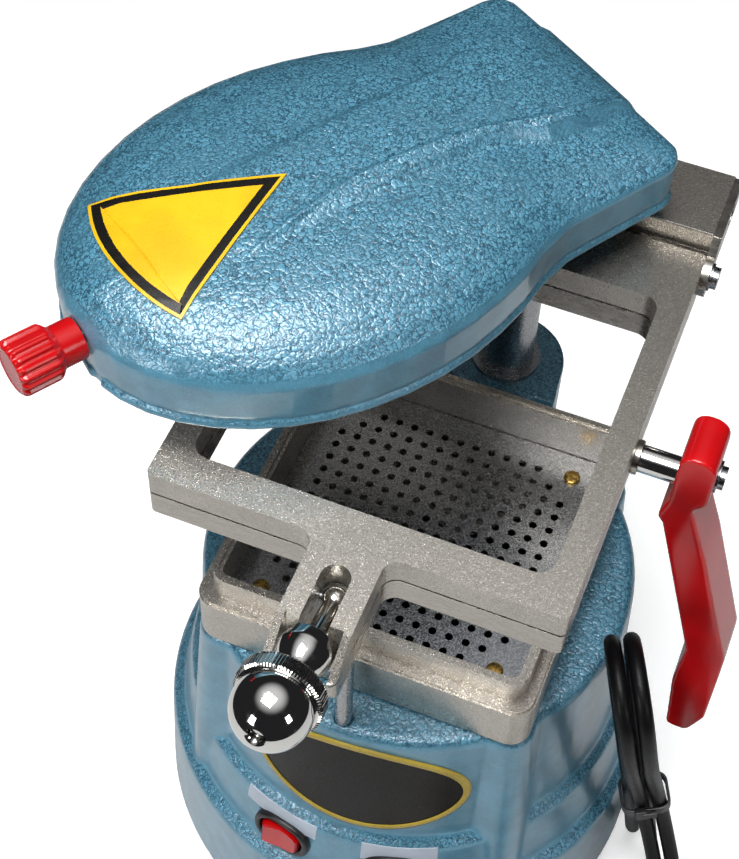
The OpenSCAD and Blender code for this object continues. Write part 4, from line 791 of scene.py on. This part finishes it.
class MACHINE_OT_studio(bpy.types.Operator):
    """Builds the pale floor, the soft lights and the dark walls that the metal mirrors"""
    bl_idname = "machine.studio"
    bl_label = "Studio"

    def execute(self, context):
        scene = context.scene
        scene.view_settings.view_transform = "Standard"
        self.floor(scene)
        self.world(scene)
        for name, at, aim, wide, high, power in (
                ("Overhead softbox", (-0.1, -0.28, 1.75), (0, 0, 0.2), 0.8, 0.8, 34),
                ("Front left softbox", (-0.62, -1.3, 0.62), (0, 0, 0.22), 0.34, 0.5, 6.5),
                ("Right softbox", (1.35, -0.62, 0.78), (0, 0, 0.22), 0.34, 0.5, 3.5)):
            bpy.ops.object.light_add(type="AREA", location=at)
            lamp = context.object
            lamp.name = name
            lamp.data.shape = "RECTANGLE"
            lamp.data.size, lamp.data.size_y = wide, high
            lamp.data.energy = power
            lamp.rotation_euler = (Vector(aim) - Vector(at)).to_track_quat("-Z", "Y").to_euler()
        return {"FINISHED"}

    def floor(self, scene):
        """White sheet: it takes the object's shadow near by and is plain white far away."""
        bpy.ops.mesh.primitive_circle_add(vertices=96, radius=FLOOR_RADIUS,
                                          fill_type="NGON")
        floor = bpy.context.object
        floor.name = "Floor"
        mat = bpy.data.materials.new("White paper sweep")
        tree = bare_tree(mat)
        at = add(tree, "ShaderNodeTexCoord").outputs["Object"]
        away = add(tree, "ShaderNodeVectorMath", {0: at}, operation="LENGTH").outputs["Value"]
        far = span(tree, away, 0.2, 0.55)
        path = add(tree, "ShaderNodeLightPath")
        sees = product(tree, path.outputs["Is Camera Ray"], path.outputs["Is Transmission Ray"],
                       "MAXIMUM")
        pale = blend_of(tree, path.outputs["Is Glossy Ray"], (0.25, 0.25, 0.25, 1),
                        (0.55, 0.55, 0.55, 1))
        bounce = add(tree, "ShaderNodeBsdfDiffuse", {"Color": pale})
        lit = add(tree, "ShaderNodeBsdfDiffuse", {"Color": (0.86, 0.86, 0.86, 1)})
        glow = add(tree, "ShaderNodeEmission", {"Color": (1, 1, 1, 1), "Strength": 0.42})
        near = add(tree, "ShaderNodeAddShader", {0: lit.outputs[0], 1: glow.outputs[0]})
        plain = add(tree, "ShaderNodeEmission", {"Color": (1, 1, 1, 1), "Strength": 1.0})
        shown = add(tree, "ShaderNodeMixShader", {0: far, 1: near.outputs[0],
                                                  2: plain.outputs[0]})
        both = add(tree, "ShaderNodeMixShader", {0: sees, 1: bounce.outputs[0],
                                                 2: shown.outputs[0]})
        add(tree, "ShaderNodeOutputMaterial", {"Surface": both.outputs[0]})
        floor.data.materials.append(mat)

    def world(self, scene):
        """White to what the camera sees, straight, mirrored or through glass, else dim."""
        world = bpy.data.worlds.new("White room")
        scene.world = world
        tree = bare_tree(world)
        dim = add(tree, "ShaderNodeBackground", {"Color": (1, 1, 1, 1), "Strength": 0.2})
        white = add(tree, "ShaderNodeBackground", {"Color": (1, 1, 1, 1), "Strength": 1.0})
        path = add(tree, "ShaderNodeLightPath")
        seen = path.outputs["Is Camera Ray"]
        for ray in ("Is Glossy Ray", "Is Transmission Ray"):
            seen = product(tree, seen, path.outputs[ray], "MAXIMUM")
        mix = add(tree, "ShaderNodeMixShader", {0: seen, 1: dim.outputs[0],
                                                2: white.outputs[0]})
        add(tree, "ShaderNodeOutputWorld", {"Surface": mix.outputs[0]})
        self.walls()

    def walls(self):
        """Dark cloth tent round the table, for the mirrors only: it pales overhead."""
        mat = bpy.data.materials.new("Dark studio cloth")
        tree = bare_tree(mat)
        at = add(tree, "ShaderNodeTexCoord").outputs["Object"]
        height = add(tree, "ShaderNodeSeparateXYZ", {0: at}).outputs["Z"]
        tone = blend_of(tree, span(tree, height, 2.05, 2.9), (0.02, 0.02, 0.022, 1),
                        (0.85, 0.85, 0.86, 1))
        glow = add(tree, "ShaderNodeEmission", {"Color": tone, "Strength": 1.0})
        add(tree, "ShaderNodeOutputMaterial", {"Surface": glow.outputs[0]})
        bpy.ops.mesh.primitive_uv_sphere_add(segments=64, ring_count=32, radius=TENT_RADIUS,
                                             location=(0, 0, TENT_Z))
        tent = bpy.context.object
        tent.name = "Dark_tent"
        bpy.ops.object.transform_apply(location=True, rotation=True, scale=True)
        tent.data.materials.append(mat)
        for ray in ("camera", "diffuse", "shadow", "transmission"):
            setattr(tent, "visible_" + ray, False)


MOST_TRIANGLES = 190000

# The seam along the near side of the head's spine, and its fork at the rear, (u, v) in mm
CRESTS = [
    [(133.7, 17.7), (126, 16.1), (110.2, 13.4), (89.3, 10.8), (69.8, 10.9), (50.8, 12.3),
     (32.6, 15.7), (18.7, 19.4), (7.2, 21.2), (-4.7, 22.5), (-14.5, 23), (-20.5, 24.2)],
    [(18.7, 19.8), (9.9, 22.6), (0.9, 25.5), (-9.2, 27), (-17, 27.4), (-22, 28.2)],
]


class MACHINE_OT_castings(bpy.types.Operator):
    """Coats the body and the head: the enamel rounds every edge of the casting"""
    bl_idname = "machine.castings"
    bl_label = "Enamelled castings"

    def execute(self, context):
        self.coat("body_housing", "Body_casting", sizes().body_grid, 3, "base")
        self.coat("head_shell", "Head_casting", sizes().head_grid, 2, "heater_head", bead=286.6)
        return {"FINISHED"}

    def crest(self, o, way):
        """Raised seam laid on the roof: a tube, half sunk, that fades out at its ends."""
        bpy.context.view_layer.update()
        spots = []
        for spot in smooth_way([Vector((u, v, 0)) for u, v in way], 8):
            hit, place, *rest = o.ray_cast(in_head(spot.x, spot.y, 400) * MM, (0, 0, -1))
            if not hit:
                raise RuntimeError("the seam leaves the head's roof")
            spots.append(place - Vector((0, 0, 0.3 * MM)))
        seam = tube("Crest", spots, 1.3 * MM, 3)
        last = len(spots) - 1
        for i, point in enumerate(seam.data.splines[0].points):
            point.radius = min(1, 0.3 + i / 10, 0.3 + (last - i) / 10)
        only(seam)
        bpy.ops.object.convert(target="MESH")
        only(seam, o)
        bpy.ops.object.join()

    def bead(self, o, height):
        """Rolled lip round the casting's foot: a tube along its outline at the height."""
        ring = placed("Lip", o.data.copy())
        only(ring)
        bpy.ops.object.mode_set(mode="EDIT")
        bpy.ops.mesh.select_all(action="SELECT")
        bpy.ops.mesh.bisect(plane_co=(0, 0, height * MM), plane_no=(0, 0, 1),
                            clear_inner=True, clear_outer=True)
        bpy.ops.mesh.select_all(action="SELECT")
        bpy.ops.mesh.remove_doubles(threshold=0.3 * MM)
        bpy.ops.object.mode_set(mode="OBJECT")
        bpy.ops.object.convert(target="CURVE")
        longest = max(ring.data.splines, key=lambda sp: sum(
            (sp.points[i].co - sp.points[i - 1].co).length for i in range(1, len(sp.points))))
        for spline in list(ring.data.splines):
            if spline != longest:
                ring.data.splines.remove(spline)
        ring.data.bevel_depth = 1.8 * MM
        ring.data.bevel_resolution = 3
        bpy.ops.object.convert(target="MESH")
        only(ring)
        middle = sum((Vector(c) for c in ring.bound_box), Vector()) / 8
        bpy.ops.object.mode_set(mode="EDIT")
        bpy.ops.mesh.select_all(action="SELECT")
        bpy.ops.transform.resize(value=(1.008, 1.008, 1), center_override=middle)
        bpy.ops.object.mode_set(mode="OBJECT")
        only(ring, o)
        bpy.ops.object.join()

    def coat(self, node, name, grid, rounds, body, bead=None):
        """Softens the casting on a grid, with its lip and seams, and enamels it."""
        o = copy_of(node, name, flat=0)
        if bead:
            self.bead(o, bead)
            for way in CRESTS:
                self.crest(o, way)
        remeshed(o, grid, rounds)
        count = sum(len(p.vertices) - 2 for p in o.data.polygons)
        if count > MOST_TRIANGLES:
            modified(o, "DECIMATE", ratio=MOST_TRIANGLES / count)
        finished(o, "enamel", body, node, slot="hammertone_enamel", smooth=0)
        bpy.ops.object.shade_smooth()


class MACHINE_OT_frames(bpy.types.Operator):
    """Softens the edges of the nickel-plated frames, tray, carriage and hinge plates"""
    bl_idname = "machine.frames"
    bl_label = "Nickel parts"

    def execute(self, context):
        s = sizes()
        for node, name, width, finish, body in (
                ("upper_frame", "Upper_frame_plate", s.cast_edge, "blasted", "clamp_frame"),
                ("lower_frame", "Lower_frame_plate", s.cast_edge, "satin", "carriage"),
                ("tray", "Tray_casting", s.cast_edge, "blasted", "base"),
                ("carriage_block", "Carriage_casting", s.cast_edge, "blasted", "carriage"),
                ("hinge_ear_right", "Hinge_plate_right", s.sheet_edge, "satin", "carriage"),
                ("hinge_ear_left", "Hinge_plate_left", s.sheet_edge, "satin", "carriage"),
                ("handle_collar", "Handle_collar_ring", s.sheet_edge, "satin", "carriage")):
            o = copy_of(node, name)
            if node == "carriage_block":
                self.web(o)
            softened(o, width, 2)
            finished(o, finish, body, node, slot="nickel_plate")
        return {"FINISHED"}

    def web(self, o):
        """Carries the web behind the frames out to the side plates."""
        bpy.ops.mesh.primitive_cube_add(size=1, location=(0, 95 * MM, 254.6 * MM),
                                        scale=(139 * MM, 20 * MM, 8.8 * MM))
        bar = bpy.context.object
        bpy.ops.object.transform_apply(location=True, rotation=True, scale=True)
        hole = lathe("Column_space", [(0, 240), (14, 240), (14, 264), (0, 264)], 48,
                     Matrix.Translation((0, 100 * MM, 0)))
        part_of(bar, hole)
        part_of(o, bar, "UNION")


class MACHINE_OT_clamp(bpy.types.Operator):
    """Turns the clamp's saddle, knurled ring and ball on the swing bolt"""
    bl_idname = "machine.clamp"
    bl_label = "Swing clamp"

    def execute(self, context):
        saddle = [(3.03, 21.5), (8.5, 21.5), (9.0, 22.0), (9.0, 25.4), (8.8, 26.3), (8.5, 27.2),
                  (8.1, 28.6), (7.2, 30.4), (6.1, 32.2), (5.5, 33.6), (5.25, 35.2), (5.2, 38),
                  (3.03, 38)]
        o = lathe("Clamp_saddle_cone", saddle + saddle[:1], 64, BOLT)
        softened(o, 0.12 * MM, 2, 40)
        finished(o, "chrome", "clamp_bolt", "clamp_saddle", slot="chrome", smooth=40)
        eye = 4.5
        neck = math.acos(3 / eye)
        profile = [(eye * math.cos(a), eye * math.sin(a)) for a in
                   [-math.pi / 2 + (neck + math.pi / 2) * i / 24 for i in range(25)]]
        profile[0] = (0, -eye)
        o = lathe("Swing_bolt_eye", profile + [(3, 5), (3, 59.3), (2.3, 60), (0, 60)], 48, BOLT)
        pin = lathe("Pin_hole", [(0, -10), (1.8, -10), (1.8, 10), (0, 10)], 24,
                    frame_at(BOLT_PIN, (1, 0, 0)))
        part_of(o, pin)
        finished(o, "chrome", "clamp_bolt", "swing_bolt", slot="chrome", smooth=40)
        self.ring()
        self.ball()
        return {"FINISHED"}

    def ring(self):
        """Ring with 84 straight ridges, chamfered at both faces, and a coned back."""
        count = 84
        points = []
        rows = [(3.03, 38.05, 0), (6.2, 38.05, 0), (11.6, 40.3, 0), (13.2, 40.5, 0),
                (14.1, 41.1, 1), (14.1, 45.9, 1), (13.2, 46.5, 0), (12.2, 46.7, 0),
                (3.03, 46.7, 0)]
        per = 4
        for r, z, ridged in rows:
            for i in range(count * per):
                a = 2 * math.pi * i / (count * per)
                dip = 0.55 if ridged and i % per in (0, 3) else 0
                points.append(((r - dip) * math.cos(a), (r - dip) * math.sin(a), z))
        o = mesh_object("Knurled_ring_rim", points, faces=bands(len(rows), count * per))
        clean(o)
        o.data.transform(BOLT)
        finished(o, "chrome", "clamp_knob", "knurled_ring", slot="chrome", smooth=25)

    def ball(self):
        """Ball flattened where it meets the ring, with a drilled and countersunk hole."""
        r = sizes().ball_radius / MM
        low = math.asin(-3.3 / r)
        profile = [(3.03, 46.5), (r * math.cos(low) - 0.3, 46.5)]
        steps = 40
        top = math.acos(3.3 / r)
        for i in range(steps + 1):
            a = low + (top - low) * i / steps
            profile.append((r * math.cos(a), 50 + r * math.sin(a)))
        profile += [(2.9, 61.9), (2.4, 61.2), (2.4, 60.55), (3.03, 60.5), (3.03, 46.5)]
        o = lathe("Ball_knob_turned", profile, 96, BOLT)
        finished(o, "chrome", "clamp_knob", "ball_knob", slot="chrome", smooth=30)


class MACHINE_OT_handle(bpy.types.Operator):
    """Moulds the red pull handle with broad round edges, and its stud"""
    bl_idname = "machine.handle"
    bl_label = "Pull handle"

    def execute(self, context):
        o = copy_of("pull_handle", "Pull_handle_grip")
        remeshed(o, 0.7 * MM, round(sizes().handle_edge / MM * 5))
        finished(o, "red", "carriage", "pull_handle", slot="red_plastic", smooth=0)
        bpy.ops.object.shade_smooth()
        o = copy_of("handle_stud", "Handle_stud_bar")
        softened(o, 0.3 * MM, 2, 40)
        finished(o, "chrome", "carriage", "handle_stud", slot="chrome")
        return {"FINISHED"}


class MACHINE_OT_knob(bpy.types.Operator):
    """Moulds the heater's fluted knob with its plain neck"""
    bl_idname = "machine.knob"
    bl_label = "Heater knob"

    def execute(self, context):
        at = in_head(184.5, 0, 300)
        way = (in_head(1, 0, 0) - in_head(0, 0, 0)).normalized()
        base = frame_at(at, way)
        flutes, per = 18, 8
        rows = [(2.5, 0, 0), (6.9, 0, 0), (7.2, 0.4, 0), (7.2, 7.6, 0), (7.4, 8.2, 0),
                (9.0, 9.7, 0.5), (9.5, 10.4, 1), (9.6, 11.2, 1), (9.6, 21.6, 1), (9.4, 22.6, 1),
                (8.7, 23.3, 0.5), (8.0, 23.7, 0), (7.4, 23.8, 0), (7.0, 23.55, 0),
                (6.4, 23.5, 0), (0.05, 23.5, 0)]
        n = flutes * per
        points = []
        for r, z, deep in rows:
            for i in range(n):
                a = 2 * math.pi * i / n
                dip = deep * (0, 0, 0.55, 1.0, 1.1, 1.0, 0.55, 0)[i % per]
                points.append(((r - dip) * math.cos(a), (r - dip) * math.sin(a), z))
        o = mesh_object("Heater_knob_cap", points, faces=bands(len(rows), n, closed=False))
        o.data.transform(base)
        clean(o, gap=0.2 * MM)
        finished(o, "red", "heater_head", "heater_knob", slot="red_plastic", smooth=50)
        return {"FINISHED"}


class MACHINE_OT_screws(bpy.types.Operator):
    """Cuts cross recesses in the screws and softens their heads"""
    bl_idname = "machine.screws"
    bl_label = "Screws"

    def execute(self, context):
        # Half the pitch of the plate's screws, and their heads' top
        off, top = 48.275, 175.4
        rows = (
            ("plate_screws", "Plate_screw_heads", "brass", "base", "brass",
             [((x * off, -1.5 + y * off, top), (0, 0, 1), 20 + 31 * x - 17 * y)
              for x in (-1, 1) for y in (-1, 1)], 2.2, 1.2, 1.0),
            ("hinge_screws", "Hinge_screw_heads", "zinc", "carriage", "zinc_steel",
             [((s * 76.0, 79.5, 265), (s, 0, 0), 25) for s in (-1, 1)], 2.6, 1.5, 0.9),
            ("ear_screws", "Ear_screw_heads", "zinc", "carriage", "zinc_steel",
             [((s * 72.6, 104, 272.25), (s, 0, 0), 10) for s in (-1, 1)], 2.6, 0.9, 0.9),
            ("handle_screw", "Handle_screw_head", "zinc", "carriage", "zinc_steel",
             [((100.3, 3, 257.7), (1, 0, 0), 35)], 2.6, 1.4, 0.9),
        )
        for node, name, finish, body, slot, spots, reach, depth, width in rows:
            o = copy_of(node, name)
            recessed(o, spots, reach, depth, width)
            softened(o, 0.18 * MM, 2, 40)
            finished(o, finish, body, node, slot=slot)
        return {"FINISHED"}


def wall_radius(z):
    """Radius of the body's wall at a height, in mm."""
    rows = [(6, 102), (57, 99.6), (60, 94.4), (87, 90.4), (90, 86), (159, 82.4)]
    for (z0, r0), (z1, r1) in zip(rows, rows[1:]):
        if z0 <= z <= z1:
            return r0 + (r1 - r0) * (z - z0) / (z1 - z0)
    raise ValueError("no wall at this height")


class MACHINE_OT_plates(bpy.types.Operator):
    """Lays the oval plate with its gold rim, the labels and the film on the head"""
    bl_idname = "machine.plates"
    bl_label = "Plates and films"

    def execute(self, context):
        self.oval()
        self.label("Label_left", -23.4, -2.9, 87.4, 79.5)
        self.label("Label_right", 8.7, 27.4, 87.4, 77.5)
        self.sector()
        return {"FINISHED"}

    def oval(self):
        """Plate bent to the wall: the rim stands proud, the field lies back."""
        o = copy_of("name_plate", "Oval_plate", flat=0)
        mid = 124.0
        finished(o, "plate", "base", "name_plate", slot="name_plate_black", smooth=30)
        rim_w, rim_h, turn = 88 * 0.48, 29.0, math.radians(5)
        rows = [(1.0, 0.15), (1.0, 1.05), (0.985, 1.3), (0.955, 1.3), (0.94, 1.05), (0.94, 0.15)]
        n = 96
        points = []
        for scale, proud in rows:
            for i in range(n):
                a = 2 * math.pi * i / n
                x = rim_w * scale * math.cos(a)
                z = mid + rim_h * (1 - (1 - scale) * rim_w / rim_h) * math.sin(a)
                z = min(max(z, 92.5), 157.5)
                r = wall_radius(z) + proud
                y = -math.sqrt(max(r * r - x * x, 1))
                c, s = math.cos(turn), math.sin(turn)
                points.append((x * c - y * s, x * s + y * c, z))
        rim = mesh_object("Oval_plate_rim", points, faces=bands(len(rows), n))
        clean(rim)
        finished(rim, "gold", "base", slot="brass", smooth=50)

    def label(self, name, left, right, top, low):
        """Paper label stuck round the second tier of the wall."""
        n, rows = 14, 4
        points, faces = [], []
        for proud in (-0.4, sizes().film / MM):
            for k in range(rows):
                z = low + (top - low) * k / (rows - 1)
                for i in range(n):
                    a = math.radians(left + (right - left) * i / (n - 1))
                    r = wall_radius(z) + proud
                    points.append((r * math.sin(a), -r * math.cos(a), z))
        sheet = n * rows
        for side in (0, 1):
            for k in range(rows - 1):
                for i in range(n - 1):
                    a = side * sheet + k * n + i
                    quad = (a, a + 1, a + n + 1, a + n)
                    faces.append(quad if side else quad[::-1])
        edge = list(range(n)) + [k * n + n - 1 for k in range(1, rows)]
        edge += [(rows - 1) * n + i for i in range(n - 2, -1, -1)]
        edge += [k * n for k in range(rows - 2, 0, -1)]
        for a, b in zip(edge, edge[1:] + edge[:1]):
            faces.append((a, b, sheet + b, sheet + a))
        o = mesh_object(name, points, faces=faces)
        clean(o)
        finished(o, "paper", "base", slot="white_plastic", smooth=30)

    def sector(self):
        """Film on the head: a sector with a black border inside a yellow edge."""
        apex_u, apex_v, reach = 104.5, -2.6, 63.2
        low, high, n = math.radians(-28.6), math.radians(26.1), 26
        points = [in_head(apex_u, apex_v, 340)]
        for i in range(n + 1):
            a = low + (high - low) * i / n
            points.append(in_head(apex_u + reach * math.cos(a), apex_v + reach * math.sin(a),
                                  340))
        o = mesh_object("Head_film", points, faces=[tuple(range(n + 2))])
        only(o)
        bpy.ops.object.mode_set(mode="EDIT")
        bpy.ops.mesh.select_mode(type="FACE")
        bpy.ops.mesh.select_all(action="SELECT")
        bpy.ops.mesh.normals_make_consistent(inside=False)
        bpy.ops.mesh.inset(thickness=1.0 * MM)
        bpy.ops.mesh.inset(thickness=3.0 * MM)
        bpy.ops.object.mode_set(mode="OBJECT")
        o.data.materials.append(finish_of("yellow"))
        o.data.materials.append(finish_of("ink"))
        field = max(o.data.polygons, key=lambda p: p.area)
        inner = set(field.vertices)
        for p in o.data.polygons:
            p.material_index = 1 if p.index != field.index and inner & set(p.vertices) else 0
        only(o)
        bpy.ops.object.mode_set(mode="EDIT")
        bpy.ops.mesh.select_all(action="SELECT")
        bpy.ops.mesh.quads_convert_to_tris(ngon_method="BEAUTY")
        bpy.ops.mesh.subdivide(number_cuts=3)
        bpy.ops.mesh.subdivide(number_cuts=1)
        bpy.ops.object.mode_set(mode="OBJECT")
        head = bpy.data.objects["Head_casting"]
        modified(o, "SHRINKWRAP", target=head, wrap_method="PROJECT", use_project_z=True,
                 use_negative_direction=True, use_positive_direction=False,
                 offset=sizes().film)
        modified(o, "SOLIDIFY", thickness=0.5 * MM, offset=-1)
        finished(o, None, "heater_head", slot="name_plate_black", smooth=40)


class MACHINE_OT_switches(bpy.types.Operator):
    """Softens the switch bezels and rockers"""
    bl_idname = "machine.switches"
    bl_label = "Switches"

    def execute(self, context):
        parts = [self.bezel(angle) for angle in SWITCH_ANGLES]
        only(*parts)
        bpy.ops.object.join()
        parts[1].name = "Switch_bezels"
        finished(parts[1], "black", "base", "switch_cases", slot="black_plastic", smooth=50)
        for node, body, angle in (("rocker_left", "left_rocker", SWITCH_ANGLES[0]),
                                  ("rocker_right", "right_rocker", SWITCH_ANGLES[1])):
            o = copy_of(node, node.title() + "_key")
            part_of(o, self.prism("Key_outline", angle, 9.15, 5.95, -14, 12, 0.85),
                    "INTERSECT")
            softened(o, 0.5 * MM, 3, 40)
            finished(o, "rocker", body, node, slot="red_rocker")
        return {"FINISHED"}

    def ring_points(self, half_w, half_h, power, z):
        """Points of an oval that is fuller than an ellipse where the power is under 1."""
        out = []
        for i in range(OVAL_N):
            a = 2 * math.pi * i / OVAL_N
            c, s = math.cos(a), math.sin(a)
            out.append((math.copysign(abs(c) ** power, c) * half_w,
                        math.copysign(abs(s) ** power, s) * half_h, z))
        return out

    def prism(self, name, angle, half_w, half_h, low, high, power):
        points = [p for z in (low, high) for p in self.ring_points(half_w, half_h, power, z)]
        faces = bands(2, OVAL_N, closed=False)
        faces += [tuple(range(OVAL_N))[::-1], tuple(range(OVAL_N, 2 * OVAL_N))]
        o = mesh_object(name, points, faces=faces)
        o.data.transform(on_wall(angle))
        clean(o)
        return o

    def bezel(self, angle):
        """Oval bezel: a rounded rim, a shallow seat and the box behind it."""
        rows = [(12.5, 9.5, -0.6), (12.5, 9.5, 1.5), (12.3, 9.3, 2.1), (11.7, 8.7, 2.5),
                (10.9, 7.9, 2.6), (10.2, 7.2, 2.4), (9.9, 6.8, 1.9), (9.7, 6.6, 1.0),
                (9.7, 6.6, -9.0), (10.6, 7.4, -9.0), (10.6, 7.4, -0.6)]
        points = [p for w, h, z in rows for p in self.ring_points(w, h, 0.8, z)]
        o = mesh_object("Bezel", points, faces=bands(len(rows), OVAL_N))
        o.data.transform(on_wall(angle))
        clean(o)
        return o


class MACHINE_OT_finishes(bpy.types.Operator):
    """Finishes the parts kept from the CAD model: by slot where it names nodes, else in zinc"""
    bl_idname = "machine.finishes"
    bl_label = "Other finishes"

    def execute(self, context):
        by_slot = {
            "hammertone_enamel": "enamel", "nickel_plate": "satin", "chrome": "chrome",
            "stainless": "steel", "zinc_steel": "zinc", "brass": "brass", "bronze": "bronze",
            "cast_hub": "iron", "motor_grey": "motor", "element_steel": "element",
            "red_plastic": "red", "red_rocker": "rocker", "black_plastic": "black",
            "name_plate_black": "plate", "black_rubber": "rubber", "white_plastic": "white",
        }
        slots = {}
        for row in frame["record"]["materials"]:
            for node in row.get("nodes", []):
                slots[node] = row["slot"]
        for name, o in frame["nodes"].items():
            finish = finish_of(by_slot.get(slots.get(name), "zinc"))
            if not o.data.materials:
                o.data.materials.append(finish)
            for place in o.material_slots:
                place.material = finish
        return {"FINISHED"}


ORDER = [MACHINE_OT_camera, MACHINE_OT_lead, MACHINE_OT_studio, MACHINE_OT_castings,
         MACHINE_OT_frames, MACHINE_OT_clamp, MACHINE_OT_handle, MACHINE_OT_knob,
         MACHINE_OT_screws, MACHINE_OT_plates, MACHINE_OT_switches, MACHINE_OT_finishes]


class MACHINE_PT_panel(bpy.types.Panel):
    """Lists the pieces of the forming machine and their sizes and colours"""
    bl_idname = "MACHINE_PT_panel"
    bl_label = "Forming Machine"
    bl_space_type = "VIEW_3D"
    bl_region_type = "UI"
    bl_category = "Forming Machine"

    def draw(self, context):
        for piece in ORDER:
            self.layout.operator(piece.bl_idname)
        for group in (context.scene.machine_sizes, context.scene.machine_colours):
            box = self.layout.box()
            for name in group.__annotations__:
                box.prop(group, name)


CLASSES = [MachineSizes, MachineColours, *ORDER, MACHINE_PT_panel]


def register():
    for cls in CLASSES:
        bpy.utils.register_class(cls)
    bpy.types.Scene.machine_sizes = PointerProperty(type=MachineSizes)
    bpy.types.Scene.machine_colours = PointerProperty(type=MachineColours)


def unregister():
    del bpy.types.Scene.machine_colours
    del bpy.types.Scene.machine_sizes
    for cls in reversed(CLASSES):
        bpy.utils.unregister_class(cls)


def main():
    register()
    for piece in ORDER:
        group, name = piece.bl_idname.split(".")
        if getattr(getattr(bpy.ops, group), name)() != {"FINISHED"}:
            raise RuntimeError(piece.bl_label + " was not made")


if __name__ == "__main__":
    main()
